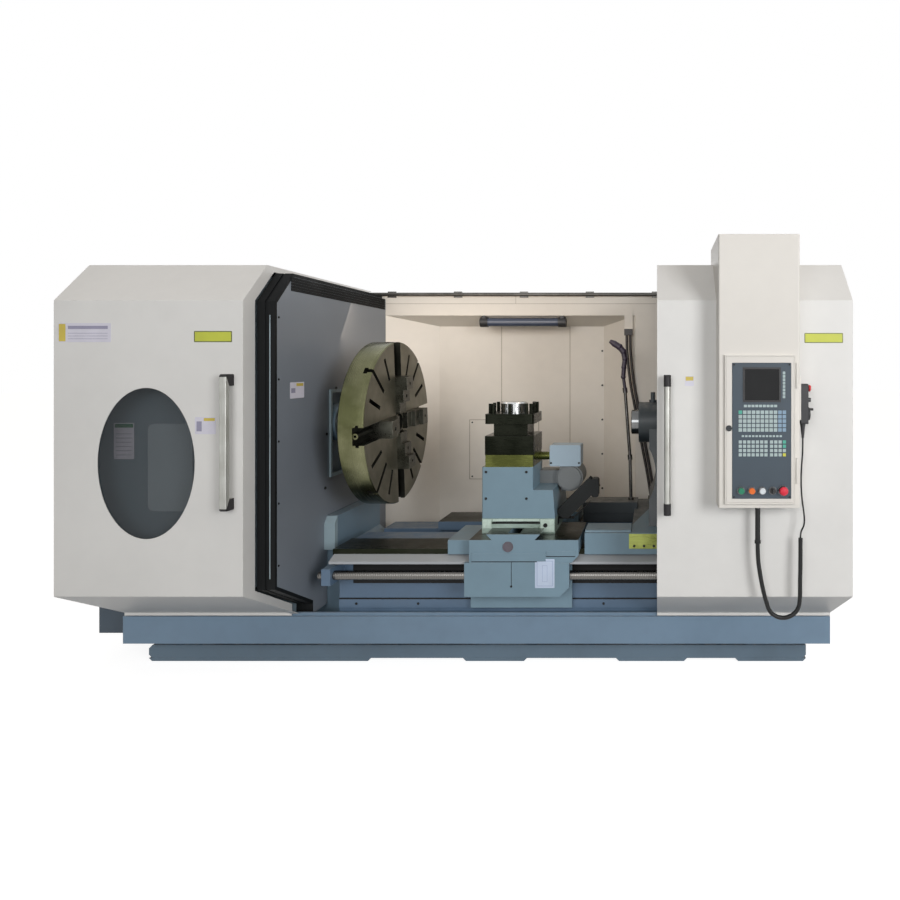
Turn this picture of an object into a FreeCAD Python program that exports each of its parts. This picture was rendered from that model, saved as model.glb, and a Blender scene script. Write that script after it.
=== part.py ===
"""CNC turning lathe with two sliding hoods.

Millimetres. X runs along the spindle towards the tailstock, Y away from the operator, Z up.
The origin is on the floor, under the spindle axis, at the middle of the machine's length.
"""
import FreeCAD, Part
import math
import os

os.makedirs("parts", exist_ok=True)
V = FreeCAD.Vector
X_AXIS = V(1, 0, 0)
Y_AXIS = V(0, 1, 0)
Z_AXIS = V(0, 0, 1)

# ------------------------------------------------------------------ clearances and sheet
sheet = 3.0             # folded sheet metal
film = 0.05             # oil film between a slide and its way
running = 0.05          # radial clearance of a shaft in its bore
gap = 0.5               # between parts that move past each other without a fit

# ------------------------------------------------------------------ floor, frame and tray
pad_height = 18
pad_width = 190
pad_spans = ((-1846, -533), (10, 389), (915, 1335), (1619, 2038))
foot_height = 77
foot_left = -1846
foot_right = 2038
foot_front = -220
foot_back = 560
foot_chamfer = 20
spacer_height = 70
spacer_width = 180
spacer_inset = 12
spacer_spans = ((-1800, -1475), (-829, -545), (76, 365), (980, 1264), (1690, 1968))
tray_height = 155
tray_wall = 12
tray_floor = 10
tray_left = -1880
tray_right = 2142.5
tray_front = -365
tray_margin = 55        # how far the tray reaches behind the rear guard's line
tank_length = 262.5     # side tank at the left end
tank_front = -217
tank_back = 480
ledge_width = 44
ledge_thickness = 10
guide_height = 18
guide_width = 12
guide_inset = 13

foot_bottom = pad_height
foot_top = foot_bottom + foot_height
tray_bottom = foot_top + spacer_height
tray_top = tray_bottom + tray_height
pan = tray_bottom + tray_floor                  # upper face of the tray's floor
guide_front = tray_front + guide_inset
guide_top = tray_top + guide_height

# ------------------------------------------------------------------ hoods
hood_front = -795
hood_top = 2284
hood_sill = 585         # lower end of the upright front
shoulder_y = -591
shoulder_z = 2075
lip_height = 17
lip_gap = 5             # between the hood's lip and the tray
roof_back = 660
bulkhead_x = -822       # right face of the bulkhead that closes the left hood
seal_width = 93
seal_gap = 6.5          # between the left hood's right edge and the seal
left_hood_width = 950
left_hood_left = bulkhead_x - seal_width - seal_gap - left_hood_width
right_hood_left = 1158.5
right_hood_width = 984
flange_depths = (30, 64, 98, 45, 8)     # roof, shoulder, front, underside, lip
window_x = 463.2        # from the left hood's left edge
window_z = 1255
window_width = 489
window_height = 760
pane_overlap = 14
pane_thickness = 6
shoe_length = 80
shoe_leg = 9
shoe_inset = 60
lip_bottom = tray_top + lip_gap
lip_top = lip_bottom + lip_height

left_handle_inset = 62.5    # from the left hood's right edge
left_handle_x = left_hood_left + left_hood_width - left_handle_inset
left_handle_z = (1025, 1705)
left_handle_width = 36
left_handle_bar = 26
right_handle_inset = 51.5   # from the right hood's left edge
right_handle_x = right_hood_left + right_handle_inset
right_handle_z = (1006, 1701)
right_handle_radius = 16
handle_reach = 62       # from the hood's face to the front of the bar
handle_foot = 58        # height of a handle's end piece

# ------------------------------------------------------------------ rail that carries the hoods
rail_radius = 12.5
rail_y = 648
rail_z = 2263
neck_half = 3.5
clip_width = 60
clip_height = 44
clip_depth = 10
clip_first = -1732
clip_pitch = 480
bearing_length = 90
bearing_wall = 9
bearing_inset = 150     # from a hood's edge to the middle of its bearing
bearing_open = 10       # the bearing is cut off this far behind the rail's axis
guard_left = -1860      # left end of the fixed enclosure
rail_left = guard_left - 5
rail_right = 2135

# ------------------------------------------------------------------ fixed enclosure
seal_left = bulkhead_x - seal_width
bulkhead_thickness = 13
seal_depths = (36, 70, 104, 51, 40)
seal_thickness = 18
seal_groove = 12
seal_groove_depth = 6
seal_roof_back = 610
nose_half = 120         # opening round the spindle nose
nose_bottom = 1092
nose_top = 1583
nose_rim = 18
nose_rim_proud = 12
bar_hole_radius = 62
bar_rim_width = 14
bar_rim_proud = 6
beam_front = 672
beam_depth = 88
beam_bottom = 2114
beam_top = 2259
rear_plan = (
    (guard_left, beam_front),
    (bulkhead_x, beam_front),
    (-506, 900),
    (751, 900),
    (1000, beam_front),
    (2130, beam_front),
)
rear_roof_drop = 66
tail_left = 1166
tail_right = 2128
tail_depths = (54, 88, 122, 52, 45)
cover_x = (-1491, -1258)
cover_z = (989, 1445)
cover_corner = 34
cover_proud = 6
rear_cover_x = (-273, 250)
rear_cover_z = (882, 1330)
lamp_x = (-137, 490)
lamp_y = 700
lamp_z = 2064
lamp_radius = 31
lamp_cap_radius = 36
lamp_cap_length = 56

# ------------------------------------------------------------------ bed
way_z = 707
way_front = -377
way_thickness = 57
front_way_back = -150
deck_back = 45
deck_drop = 12
rear_way_front = 265
rear_way_back = 545
rear_way_left = -300
rear_way_lap = 45       # that the rear way stands out over its wall, each side
bed_left = -680
bed_right = 2030
bed_front = -300
bed_wall = 150
rib_pitch = 452
rib_thickness = 32
rib_drop = 110          # below the ways
strip_bottom = 345
strip_top = 396
strip_thickness = 6

# ------------------------------------------------------------------ Z drive
z_screw_y = -420
z_screw_z = 573
z_screw_radius = 25
z_journal_radius = 20
z_screw_left = -735
z_block_left = -700
z_block_length = 50
z_block_right = 1790
z_block_half = 46
z_motor_half = 76
z_motor_length = 205
z_motor_plate_x = 1872
z_motor_plate = 26
z_coupling_radius = 32
screw_guard_left = -672
screw_guard_right = 1780
screw_guard_front = -440
screw_guard_front_z = 654
screw_guard_top = 679
screw_guard_hem = 14

# ------------------------------------------------------------------ headstock and spindle
spindle_z = 1394
spindle_bore = 52
spindle_radius = 100
spindle_flange_radius = 190     # of the nose that the chuck is bolted to
spindle_left = -1700
headstock_left = -1500
headstock_right = -850
headstock_front = -300
headstock_back = 330
headstock_top = 1720
headstock_chamfer = 90
pedestal_front = -158
pedestal_back = 430
pedestal_top = 846
pedestal_step_x = -760
pedestal_step_z = 650
bearing_radius = 135
front_bearing = (-940, -870)
rear_bearing = (-1470, -1410)
nose_ring_radius = 115
nose_ring_right = -800
pulley_x = (-1620, -1540)
spindle_pulley_radius = 200
pulley_flange = 12
pulley_lip = 6
motor_y = -400
motor_z = 640
motor_radius = 140
motor_pulley_radius = 80
motor_shaft_radius = 24
motor_shaft_bore = 62
motor_length = 520
motor_fin = 15
motor_fins = 20
main_terminal_x = (90, 260)     # terminal box, from the motor's left end
main_terminal_half = 75
main_terminal_height = 85
belt_thickness = 10

# ------------------------------------------------------------------ chuck and jaws
chuck_face = -452.5
chuck_thickness = 145
chuck_radius = 500
chuck_phase = 4.5       # degrees that the chuck stands turned
chuck_chamfer = 5
channel_width = 100
channel_depth = 62
channel_inner = 53.5
tongue_depths = (28, 46)
tongue_reach = 12
jaw_inner = 62
jaw_outer = 286
jaw_steps = ((62, 26), (128, 50), (206, 74))
jaw_play = 0.1
jaw_screw_radius = 17
jaw_screw_depth = 50
jaw_screw_end = 490
slot_angles = (25, 45, 65)
slot_width = 24
slot_depth = 50
slot_under_width = 42
slot_under_depth = 28
slot_inner = 300
slot_outer = 450

# ------------------------------------------------------------------ carriage
saddle_left = 119
saddle_right = 724
saddle_front = -470
saddle_back = 560
saddle_top = 783
saddle_front_bottom = 656
saddle_skirt = 24
wing_left = -20
wing_front = -402
wing_top = 764
wing_lip_bottom = 684
front_beam_back = -60
rear_beam_front = 220
rear_beam_right = 640
dovetail_half = 150
dovetail_foot_half = 120
dovetail_height = 31
slide_left = 153
slide_right = 572
slide_front = -330
slide_back = 250
slide_top = 868.6
x_screw_z = 765
x_screw_radius = 16
x_screw_x = 362.5
trough_half = 34
trough_bottom = 728
nut_half = 28
x_motor_half = 65
x_motor_length = 210
apron_left = 92
apron_right = 672
apron_bottom = 468
apron_corner = 52
nut_x = (250, 430)
nut_z = (528, 618)
nut_back = -335
pan_front = -345
pan_bottom = 362
sight_x = 334.7
sight_z = 746
sight_radius = 29

# ------------------------------------------------------------------ turret
post_right = 446
post_step_z = 1032
post_top = 1164
post_back = -30
post_foot_back = 150
turret_base_top = 1233
turret_side = 280
turret_x = 308
turret_y = -190
tool_slot = (1342, 1411)
tool_slot_depth = 42
turret_top = 1468
clamp_radius = 10
clamp_height = 58
clamp_inset = 22
clamp_offsets = (-96, 0, 96)
cap_radius = 79
cap_height = 64
tmotor_x = 632
tmotor_z = 1072
tmotor_radius = 80
tmotor_y = (-150, 40)
tmotor_foot_z = (985, 1110)
tbox_x = (514, 700)
tbox_y = (-170, -40)
tbox_z = (1143, 1270)
tbox_shaft_radius = 24
tbox_shaft_z = 1199

# ------------------------------------------------------------------ cable chain
chain_start = (592, 862)
chain_run = 280
chain_links = 9
chain_half = 44
chain_y = (-245, -175)
chain_pin_radius = 18
chain_hook_z = (972, 1082)
chain_strip = ((572, 848), (664, 848), (760, 944))

# ------------------------------------------------------------------ tailstock
tail_base_left = 1010
tail_base_right = 1520
tail_base_top = 803
tail_base_front = -390
tail_base_back = 540
front_foot_left = 750
front_foot_top = 814
front_foot_back = -212
rear_foot_left = 669
rear_foot_top = 844
rear_foot_seam = 774
rear_foot_front = 226
rear_foot_back = 400
barrel_radius = 125
barrel_left = 1045
barrel_right = 1520
quill_radius = 75
quill_left = 998
quill_length = 440
taper_mouth = 31.5
taper_depth = 120
taper_end = 26
body_left = 1110
scoop_offset = 250      # hollow in the body's front, its axis ahead of the body
scoop_radius = 290
body_right = 1480
body_half = 250
tail_wheel_radius = 150
tail_wheel_rim = 12
tail_wheel_x = 1585
tail_shaft_radius = 16
knob_x = 1132
pipe_radius = 11
pipe_foot = (982, 312)
pipe_bends = ((975, 1130), (942, 1580), (930, 1672))
pipe_union = 34
nozzle_bends = ((930, 1670), (934, 1735), (941, 1792), (931, 1840), (904, 1872), (872, 1892))
nozzle_radii = (15, 16, 18, 20, 21)

# ------------------------------------------------------------------ control column on the right hood
column_left = 1456
column_width = 394.5
column_front = -915
column_back = -472
column_bottom = 1058
column_top = 2384
column_corner = 8
pocket_margin = 8       # how far the panel door laps over the cabinet's front
door_x = (1485, 1826)
door_z = (1078, 1798)
door_thickness = 12
door_rim = 24
panel_x = (1521.5, 1804.5)
panel_z = (1106.5, 1759.7)
panel_depth = 46
panel_proud = 2
panel_play = 1
screen_x = (1581, 1746)
screen_z = (1580, 1730)
screen_recess = 3
hinge_radius = 7
hinge_pin = 3
hinge_length = 60
hinge_x = 1834
hinge_y = -922.5
hinge_heights = (1180, 1640)
latch_x = 1505
latch_z = 1445.7
latch_radius = 14.5
button_z = 1145.3
button_xs = (1563.5, 1614.5, 1665)
selector_x = 1715.5
stop_x = 1766
button_radius = 15
stop_radius = 21
stem_radius = 8
button_travel = 5
stop_travel = 6

# ------------------------------------------------------------------ hand pendant, its cable and conduit
holder_thickness = 7.5
pendant_thickness = 36
pendant_y = (-905, -825)
pendant_z = (1463, 1658)
relief_length = 71
relief_x = 1874.5
relief_y = -868
pendant_stop_z = 1636
pendant_knob_z = 1580
pendant_knob_ys = (-886, -844)
pendant_wheel_z = 1510
pendant_wheel_radius = 32
pendant_hole = 26
knob_radius = 12
conduit_radius = 10.5
stub_radius = 12.5
stub_x = 1655
stub_y = -855
stub_bottom = 872
cable_radius = 4
hose_radius = 10
hose_pitch = 25


# ------------------------------------------------------------------ shapes
def box(x0, x1, y0, y1, z0, z1):
    return Part.makeBox(x1 - x0, y1 - y0, z1 - z0, V(x0, y0, z0))


def prism(corners, run):
    return Part.Face(Part.makePolygon(corners + corners[:1])).extrude(run)


def prism_x(outline, x0, x1):
    """Outline of (y, z) points, drawn out along X."""
    return prism([V(x0, y, z) for y, z in outline], V(x1 - x0, 0, 0))


def prism_y(outline, y0, y1):
    """Outline of (x, z) points, drawn out along Y."""
    return prism([V(x, y0, z) for x, z in outline], V(0, y1 - y0, 0))


def prism_z(outline, z0, z1):
    """Outline of (x, y) points, drawn out along Z."""
    return prism([V(x, y, z0) for x, y in outline], V(0, 0, z1 - z0))


def rod(start, end, radius):
    run = end - start
    return Part.makeCylinder(radius, run.Length, start, run)


def rod_x(x0, x1, y, z, radius):
    return rod(V(x0, y, z), V(x1, y, z), radius)


def rod_y(x, y0, y1, z, radius):
    return rod(V(x, y0, z), V(x, y1, z), radius)


def rod_z(x, y, z0, z1, radius):
    return rod(V(x, y, z0), V(x, y, z1), radius)


def turned(profile, centre, axis):
    """A solid of revolution: (distance along the axis, radius) points, closed on the axis or not."""
    outline = Part.Face(Part.makePolygon([V(r, 0, a) for a, r in profile + profile[:1]]))
    shape = outline.revolve(V(0, 0, 0), Z_AXIS, 360)
    shape.Placement = FreeCAD.Placement(centre, FreeCAD.Rotation(Z_AXIS, axis))
    return shape


def fused(*shapes):
    return shapes[0].multiFuse(list(shapes[1:])).removeSplitter()


def cut(shape, *tools):
    for tool in tools:
        shape = shape.cut(tool)
    return shape


def turned_about_spindle(shape, degrees):
    copy = shape.copy()
    copy.rotate(V(0, 0, spindle_z), X_AXIS, degrees)
    return copy


def edges_along(shape, direction, keep=None):
    """Straight edges that run along a direction, and whose middle passes the keep test."""
    found = []
    for edge in shape.Edges:
        ends = [v.Point for v in edge.Vertexes]
        if len(ends) == 2 and isinstance(edge.Curve, Part.Line):
            run = (ends[1] - ends[0]).normalize()
            middle = (ends[0] + ends[1]) * 0.5
            if abs(run.dot(direction)) > 0.999 and (keep is None or keep(middle)):
                found.append(edge)
    return found


def offset_path(points, distances):
    """An open line moved to its left, each run by its own distance, mitred at the corners."""
    runs = []
    for (a, b), (c, d), distance in zip(points, points[1:], distances):
        length = math.hypot(c - a, d - b)
        along = ((c - a) / length, (d - b) / length)
        start = (a - along[1] * distance, b + along[0] * distance)
        runs.append((start, along, length))
    moved = [runs[0][0]]
    for (p, u, _), (q, w, _) in zip(runs, runs[1:]):
        across = u[0] * w[1] - u[1] * w[0]
        reach = ((q[0] - p[0]) * w[1] - (q[1] - p[1]) * w[0]) / across
        moved.append((p[0] + u[0] * reach, p[1] + u[1] * reach))
    start, along, length = runs[-1]
    end = points[-1]
    side = distances[len(runs) - 1]
    moved.append((end[0] - along[1] * side, end[1] + along[0] * side))
    return moved


def offset_ring(corners, distance):
    """A closed outline moved to its left, mitred all round."""
    ring = corners + corners[:2]
    return offset_path(ring, even(distance, ring))[1:-1]


def even(distance, points):
    return [distance] * (len(points) - 1)


def band(points, near, far):
    """The strip between two offsets of an open line."""
    return offset_path(points, near) + offset_path(points, far)[::-1]


def sheet_band(points):
    return band(points, even(0, points), even(sheet, points))


def tube(points, radius, name):
    """A tube along straight runs joined by tangent arcs; prints its bends and its volume."""
    share = 0.45
    edges = []
    bends = []
    start = points[0]
    for before, corner, after in zip(points, points[1:], points[2:]):
        run_in = corner - before
        run_out = after - corner
        turn = run_in.getAngle(run_out)
        reach = share * min(run_in.Length, run_out.Length)
        bend = reach / math.tan(turn / 2)
        into = corner - run_in.normalize() * reach
        out = corner + run_out.normalize() * reach
        inward = (into + out) * 0.5 - corner
        depth = bend / math.cos(turn / 2) - bend
        middle = corner + inward.normalize() * depth
        edges.append(Part.LineSegment(start, into).toShape())
        edges.append(Part.Arc(into, middle, out).toShape())
        bends.append(bend)
        start = out
    edges.append(Part.LineSegment(start, points[-1]).toShape())
    path = Part.Wire(edges)
    circle = Part.Circle(points[0], points[1] - points[0], radius)
    shape = path.makePipeShell([Part.Wire([circle.toShape()])], True, False)
    ratio = shape.Volume / (math.pi * radius**2 * path.Length)
    radii = " ".join(f"{bend:.0f}" for bend in bends)
    print(f"{name}: length {path.Length:.0f}, volume ratio {ratio:.4f}, bend radii {radii}")
    return shape


def save(name, shape):
    """Write one node's file, after a look at its solids."""
    if not shape.isValid() or not shape.Solids:
        raise ValueError(f"{name} is not a sound solid")
    shape.exportStep(f"parts/{name}.step")


# ------------------------------------------------------------------ outlines that several pieces share
hood_line = [
    (roof_back, hood_top),
    (shoulder_y, hood_top),
    (hood_front, shoulder_z),
    (hood_front, hood_sill),
    (tray_front, lip_top),
    (tray_front, lip_bottom),
]
flange_line = [(rail_y - rail_radius - bearing_wall, hood_top)] + hood_line[1:]
guard_depths = [depth + seal_thickness for depth in seal_depths[:-1]] + [seal_depths[-1] + 5]


def guard_line(depths):
    """The fixed guards' section: the hood's line moved in, run back to the beam and down to the tray."""
    inner = offset_path(hood_line, depths)
    roof_z = inner[0][1]
    foot_y = inner[-1][0]
    return [(beam_front, roof_z)] + inner[1:-1] + [(foot_y, tray_top)]


# ------------------------------------------------------------------ floor, frame and tray
def levelling_pads():
    pads = []
    for left, right in pad_spans:
        outline = [
            (left + pad_height, 0),
            (right - pad_height, 0),
            (right, pad_height),
            (left, pad_height),
        ]
        for front in (foot_front, foot_back - pad_width):
            pads.append(prism_y(outline, front, front + pad_width))
    return Part.makeCompound(pads)


def foot_frame():
    outline = [
        (foot_left + foot_chamfer, foot_bottom),
        (foot_right - foot_chamfer, foot_bottom),
        (foot_right, foot_bottom + foot_chamfer),
        (foot_right, foot_top),
        (foot_left + foot_chamfer, foot_top),
        (foot_left, foot_top - foot_chamfer),
        (foot_left, foot_bottom + foot_chamfer),
    ]
    frame = [prism_y(outline, foot_front, foot_back)]
    for left, right in spacer_spans:
        for front in (foot_front + spacer_inset, foot_back - spacer_inset - spacer_width):
            frame.append(box(left, right, front, front + spacer_width, foot_top, tray_bottom))
    return fused(*frame)


def chip_tray():
    def plan(inset):
        rear = offset_path(rear_plan, even(tray_margin - inset, rear_plan))
        rear[0] = (tray_left + inset, rear[0][1])
        rear[-1] = (tray_right - inset, rear[-1][1])
        front = tray_front + inset
        return [(tray_right - inset, front), (tray_left + inset, front)] + rear

    tank_left = tray_left - tank_length
    outer = fused(
        prism_z(plan(0), tray_bottom, tray_top),
        box(tank_left, tray_left, tank_front, tank_back, tray_bottom, tray_top),
    )
    hollow = prism_z(plan(tray_wall), pan, tray_top)
    tank = box(
        tank_left + tray_wall,
        tray_left,
        tank_front + tray_wall,
        tank_back - tray_wall,
        pan,
        tray_top,
    )
    ledge_back = tray_front + ledge_width
    ends = (tray_left + tray_wall, tray_right - tray_wall)
    ledge = box(*ends, tray_front, ledge_back, tray_top - ledge_thickness, tray_top)
    guide = box(*ends, guide_front, guide_front + guide_width, tray_top, guide_top)
    return fused(cut(outer, hollow, tank), ledge, guide)


# ------------------------------------------------------------------ bed and Z drive
def bed_front_beam():
    """The front beam under the narrow way, with the deck that leans back to the chip slot."""
    under = way_z - way_thickness
    deck = way_z - deck_drop
    return prism_x(
        [
            (bed_front, pan),
            (bed_front, under),
            (way_front, under),
            (way_front, way_z),
            (front_way_back, way_z),
            (front_way_back, deck),
            (deck_back, deck),
            (deck_back, under),
            (bed_front + bed_wall, under - bed_wall),
            (bed_front + bed_wall, pan),
        ],
        bed_left,
        bed_right,
    )


def bed():
    """Two long beams on the tray, tied by ribs. The screw's blocks, its motor plate and a wear
    strip are bolted to the front one, so each is a solid of its own."""
    under = way_z - way_thickness
    rear_wall = (rear_way_front + rear_way_lap, rear_way_back - rear_way_lap)
    rear = box(bed_left, bed_right, *rear_wall, pan, under)
    rear_way = box(rear_way_left, bed_right, rear_way_front, rear_way_back, under, way_z)
    beam = bed_front_beam()
    pieces = [beam, fused(rear, rear_way)]
    rib_top = way_z - rib_drop
    ribs = int((bed_right - bed_left - rib_thickness) / rib_pitch)
    for i in range(ribs + 1):
        left = bed_left + i * rib_pitch
        rib = box(left, left + rib_thickness, bed_front + bed_wall, rear_wall[0], pan, rib_top)
        pieces.append(rib.cut(beam))
    strip_front = bed_front - strip_thickness
    pieces.append(box(bed_left, bed_right, strip_front, bed_front, strip_bottom, strip_top))
    low = z_screw_z - z_block_half
    high = z_screw_z + z_block_half
    block_front = z_screw_y - z_block_half
    journal = rod_x(z_screw_left, z_motor_plate_x, z_screw_y, z_screw_z, z_journal_radius + running)
    for left in (z_block_left, z_block_right):
        reach = max(left, bed_left)
        right = left + z_block_length
        block = box(left, right, block_front, z_screw_y + z_block_half, low, high)
        pieces.append(cut(fused(block, box(reach, right, z_screw_y, bed_front, low, high)), journal))
    plate = (z_motor_plate_x, z_motor_plate_x + z_motor_plate)
    window = rod_x(*plate, z_screw_y, z_screw_z, z_coupling_radius + gap)
    low = z_screw_z - z_motor_half
    high = z_screw_z + z_motor_half
    pieces.append(cut(box(*plate, z_screw_y - z_motor_half, bed_front, low, high), window))
    return Part.makeCompound(pieces)


def screw_guard():
    line = [
        (way_front, way_z - way_thickness + 2),
        (way_front, screw_guard_top),
        (screw_guard_front, screw_guard_front_z),
        (screw_guard_front, screw_guard_front_z - screw_guard_hem),
    ]
    return prism_x(sheet_band(line), screw_guard_left, screw_guard_right)


def z_screw():
    thread_left = z_block_left + z_block_length + gap
    thread_right = z_block_right - gap
    end = z_motor_plate_x + z_motor_plate
    coupling_left = z_block_right + z_block_length + 8
    profile = [
        (z_screw_left, 0),
        (z_screw_left, z_journal_radius),
        (thread_left, z_journal_radius),
        (thread_left, z_screw_radius),
        (thread_right, z_screw_radius),
        (thread_right, z_journal_radius),
        (coupling_left, z_journal_radius),
        (coupling_left, z_coupling_radius),
        (end - gap, z_coupling_radius),
        (end - gap, 0),
    ]
    return turned(profile, V(0, z_screw_y, z_screw_z), X_AXIS)


def servo(half, length, connector):
    """A square servo motor along +Z from its face at the origin: flange, ribbed body, encoder cap."""
    flange = 14
    cap = 0.25 * length
    body = box(-half, half, -half, half, 0, flange)
    waist = half - 7
    barrel = box(-waist, waist, -waist, waist, flange, length - cap)
    barrel = barrel.makeFillet(waist / 4, edges_along(barrel, Z_AXIS))
    encoder = Part.makeCylinder(waist - 3, cap, V(0, 0, length - cap))
    plug = box(-16, 16, waist, waist + connector, length - cap - 46, length - cap - 12)
    return fused(body, barrel, encoder, plug)


def z_motor():
    motor = servo(z_motor_half, z_motor_length, 24)
    turn = FreeCAD.Rotation(Y_AXIS, Z_AXIS, X_AXIS, "ZXY")
    face = V(z_motor_plate_x + z_motor_plate, z_screw_y, z_screw_z)
    motor.Placement = FreeCAD.Placement(face, turn)
    return motor


# ------------------------------------------------------------------ headstock, spindle and main drive
def headstock():
    pedestal = prism_y(
        [
            (headstock_left, pan),
            (bed_left, pan),
            (bed_left, pedestal_step_z - 60),
            (pedestal_step_x, pedestal_step_z),
            (pedestal_step_x, pedestal_top),
            (headstock_left, pedestal_top),
        ],
        pedestal_front,
        pedestal_back,
    )
    shoulder = headstock_top - headstock_chamfer
    upper = prism_x(
        [
            (headstock_front, pedestal_top),
            (headstock_front, shoulder),
            (headstock_front + headstock_chamfer, headstock_top),
            (headstock_back - headstock_chamfer, headstock_top),
            (headstock_back, shoulder),
            (headstock_back, pedestal_top),
        ],
        headstock_left,
        headstock_right,
    )
    nose = rod_x(headstock_right, nose_ring_right, 0, spindle_z, nose_ring_radius)
    casting = fused(pedestal, upper, nose)
    clear = spindle_radius + 4
    bores = [rod_x(headstock_left, nose_ring_right, 0, spindle_z, clear)]
    for left, right in (front_bearing, rear_bearing):
        bores.append(rod_x(left, right, 0, spindle_z, bearing_radius))
    return cut(casting, *bores)


def spindle_bearings():
    groove = 4
    rings = []
    for left, right in (front_bearing, rear_bearing):
        middle = (left + right) / 2
        race = (spindle_radius + bearing_radius) / 2
        inner = spindle_radius + running
        profile = [
            (left, inner),
            (right, inner),
            (right, race - groove),
            (right - groove, race),
            (right, race + groove),
            (right, bearing_radius),
            (middle, bearing_radius),
            (left, bearing_radius),
            (left, race + groove),
            (left + groove, race),
            (left, race - groove),
        ]
        rings.append(turned(profile, V(0, 0, spindle_z), X_AXIS))
    return Part.makeCompound(rings)


def spindle():
    back = chuck_face - chuck_thickness
    flange = back - 42
    tail = pulley_x[1] + 30
    left, right = pulley_x
    groove = spindle_pulley_radius
    lip = groove + pulley_lip
    profile = [
        (spindle_left, spindle_bore),
        (spindle_left, spindle_radius - 18),
        (left, spindle_radius - 18),
        (left, lip),
        (left + pulley_flange / 3, lip),
        (left + pulley_flange / 3, groove),
        (right - pulley_flange / 3, groove),
        (right - pulley_flange / 3, lip),
        (right, lip),
        (right, spindle_radius - 8),
        (tail, spindle_radius - 8),
        (tail, spindle_radius),
        (flange, spindle_radius),
        (flange, spindle_flange_radius),
        (back, spindle_flange_radius),
        (back, spindle_bore),
    ]
    return turned(profile, V(0, 0, spindle_z), X_AXIS)


def belt_loop(grow):
    """The outline round both pulleys, that much outside their belt faces."""
    y1, z1, r1 = 0, spindle_z, spindle_pulley_radius + grow
    y2, z2, r2 = motor_y, motor_z, motor_pulley_radius + grow
    reach = math.hypot(y2 - y1, z2 - z1)
    heading = math.atan2(z2 - z1, y2 - y1)
    lean = math.acos((r1 - r2) / reach)

    def at(y, z, r, angle):
        return V(pulley_x[0], y + r * math.cos(angle), z + r * math.sin(angle))

    left, right = heading + lean, heading - lean
    big = Part.Arc(at(y1, z1, r1, left), at(y1, z1, r1, heading + math.pi), at(y1, z1, r1, right))
    small = Part.Arc(at(y2, z2, r2, right), at(y2, z2, r2, heading), at(y2, z2, r2, left))
    return Part.Face(
        Part.Wire(
            [
                big.toShape(),
                Part.LineSegment(at(y1, z1, r1, right), at(y2, z2, r2, right)).toShape(),
                small.toShape(),
                Part.LineSegment(at(y2, z2, r2, left), at(y1, z1, r1, left)).toShape(),
            ]
        )
    )


def drive_belt():
    width = pulley_x[1] - pulley_x[0] - 2 * pulley_flange
    run = V(width, 0, 0)
    belt = belt_loop(running + belt_thickness).extrude(run).cut(belt_loop(running).extrude(run))
    belt.translate(V(pulley_flange, 0, 0))
    return belt


def motor_pulley():
    left, right = pulley_x
    step = pulley_flange / 3
    lip = motor_pulley_radius + pulley_lip
    end = headstock_left + motor_shaft_bore - 2
    profile = [
        (left, 0),
        (left, lip),
        (left + step, lip),
        (left + step, motor_pulley_radius),
        (right - step, motor_pulley_radius),
        (right - step, lip),
        (right, lip),
        (right, motor_shaft_radius + 14),
        (right + 16, motor_shaft_radius + 14),
        (right + 16, motor_shaft_radius),
        (end, motor_shaft_radius),
        (end, 0),
    ]
    return turned(profile, V(0, motor_y, motor_z), X_AXIS)


def main_motor():
    left = headstock_left
    right = left + motor_length
    barrel = rod_x(left, right, motor_y, motor_z, motor_radius)
    bell = rod_x(left, left + 26, motor_y, motor_z, motor_radius + motor_fin)
    cowl = rod_x(right - 90, right, motor_y, motor_z, motor_radius + motor_fin)
    pieces = [barrel, bell, cowl]
    for i in range(motor_fins):
        fin = box(
            left + 26,
            right - 90,
            motor_y - 2.5,
            motor_y + 2.5,
            motor_z + motor_radius - 8,
            motor_z + motor_radius + motor_fin - 2,
        )
        fin.rotate(V(0, motor_y, motor_z), X_AXIS, (i + 0.5) * 360 / motor_fins)
        pieces.append(fin)
    foot_x = (left + 60, right - 110)
    for middle in (motor_z - 90, motor_z + 90):
        pieces.append(box(*foot_x, motor_y + 60, pedestal_front, middle - 15, middle + 15))
    pieces.append(
        box(*foot_x, pedestal_front - 18, pedestal_front, motor_z - 125, motor_z + 125)
    )
    terminal = box(
        left + main_terminal_x[0],
        left + main_terminal_x[1],
        motor_y - main_terminal_half,
        motor_y + main_terminal_half,
        motor_z + motor_radius - 20,
        motor_z + motor_radius + main_terminal_height,
    )
    pieces.append(terminal)
    shaft = rod_x(left, left + motor_shaft_bore, motor_y, motor_z, motor_shaft_radius + running)
    return cut(fused(*pieces), shaft)


# ------------------------------------------------------------------ chuck and jaws, drawn with a jaw straight up
def jaw_section(depth, width, tongue, grow):
    """Channel or jaw base seen along its travel: a slot with a side groove, as (y, x) boxes."""
    shallow, deep = tongue
    return (
        (width / 2, chuck_face - depth, chuck_face),
        (width / 2 + tongue_reach, chuck_face - deep - grow, chuck_face - shallow + grow),
    )


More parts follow.
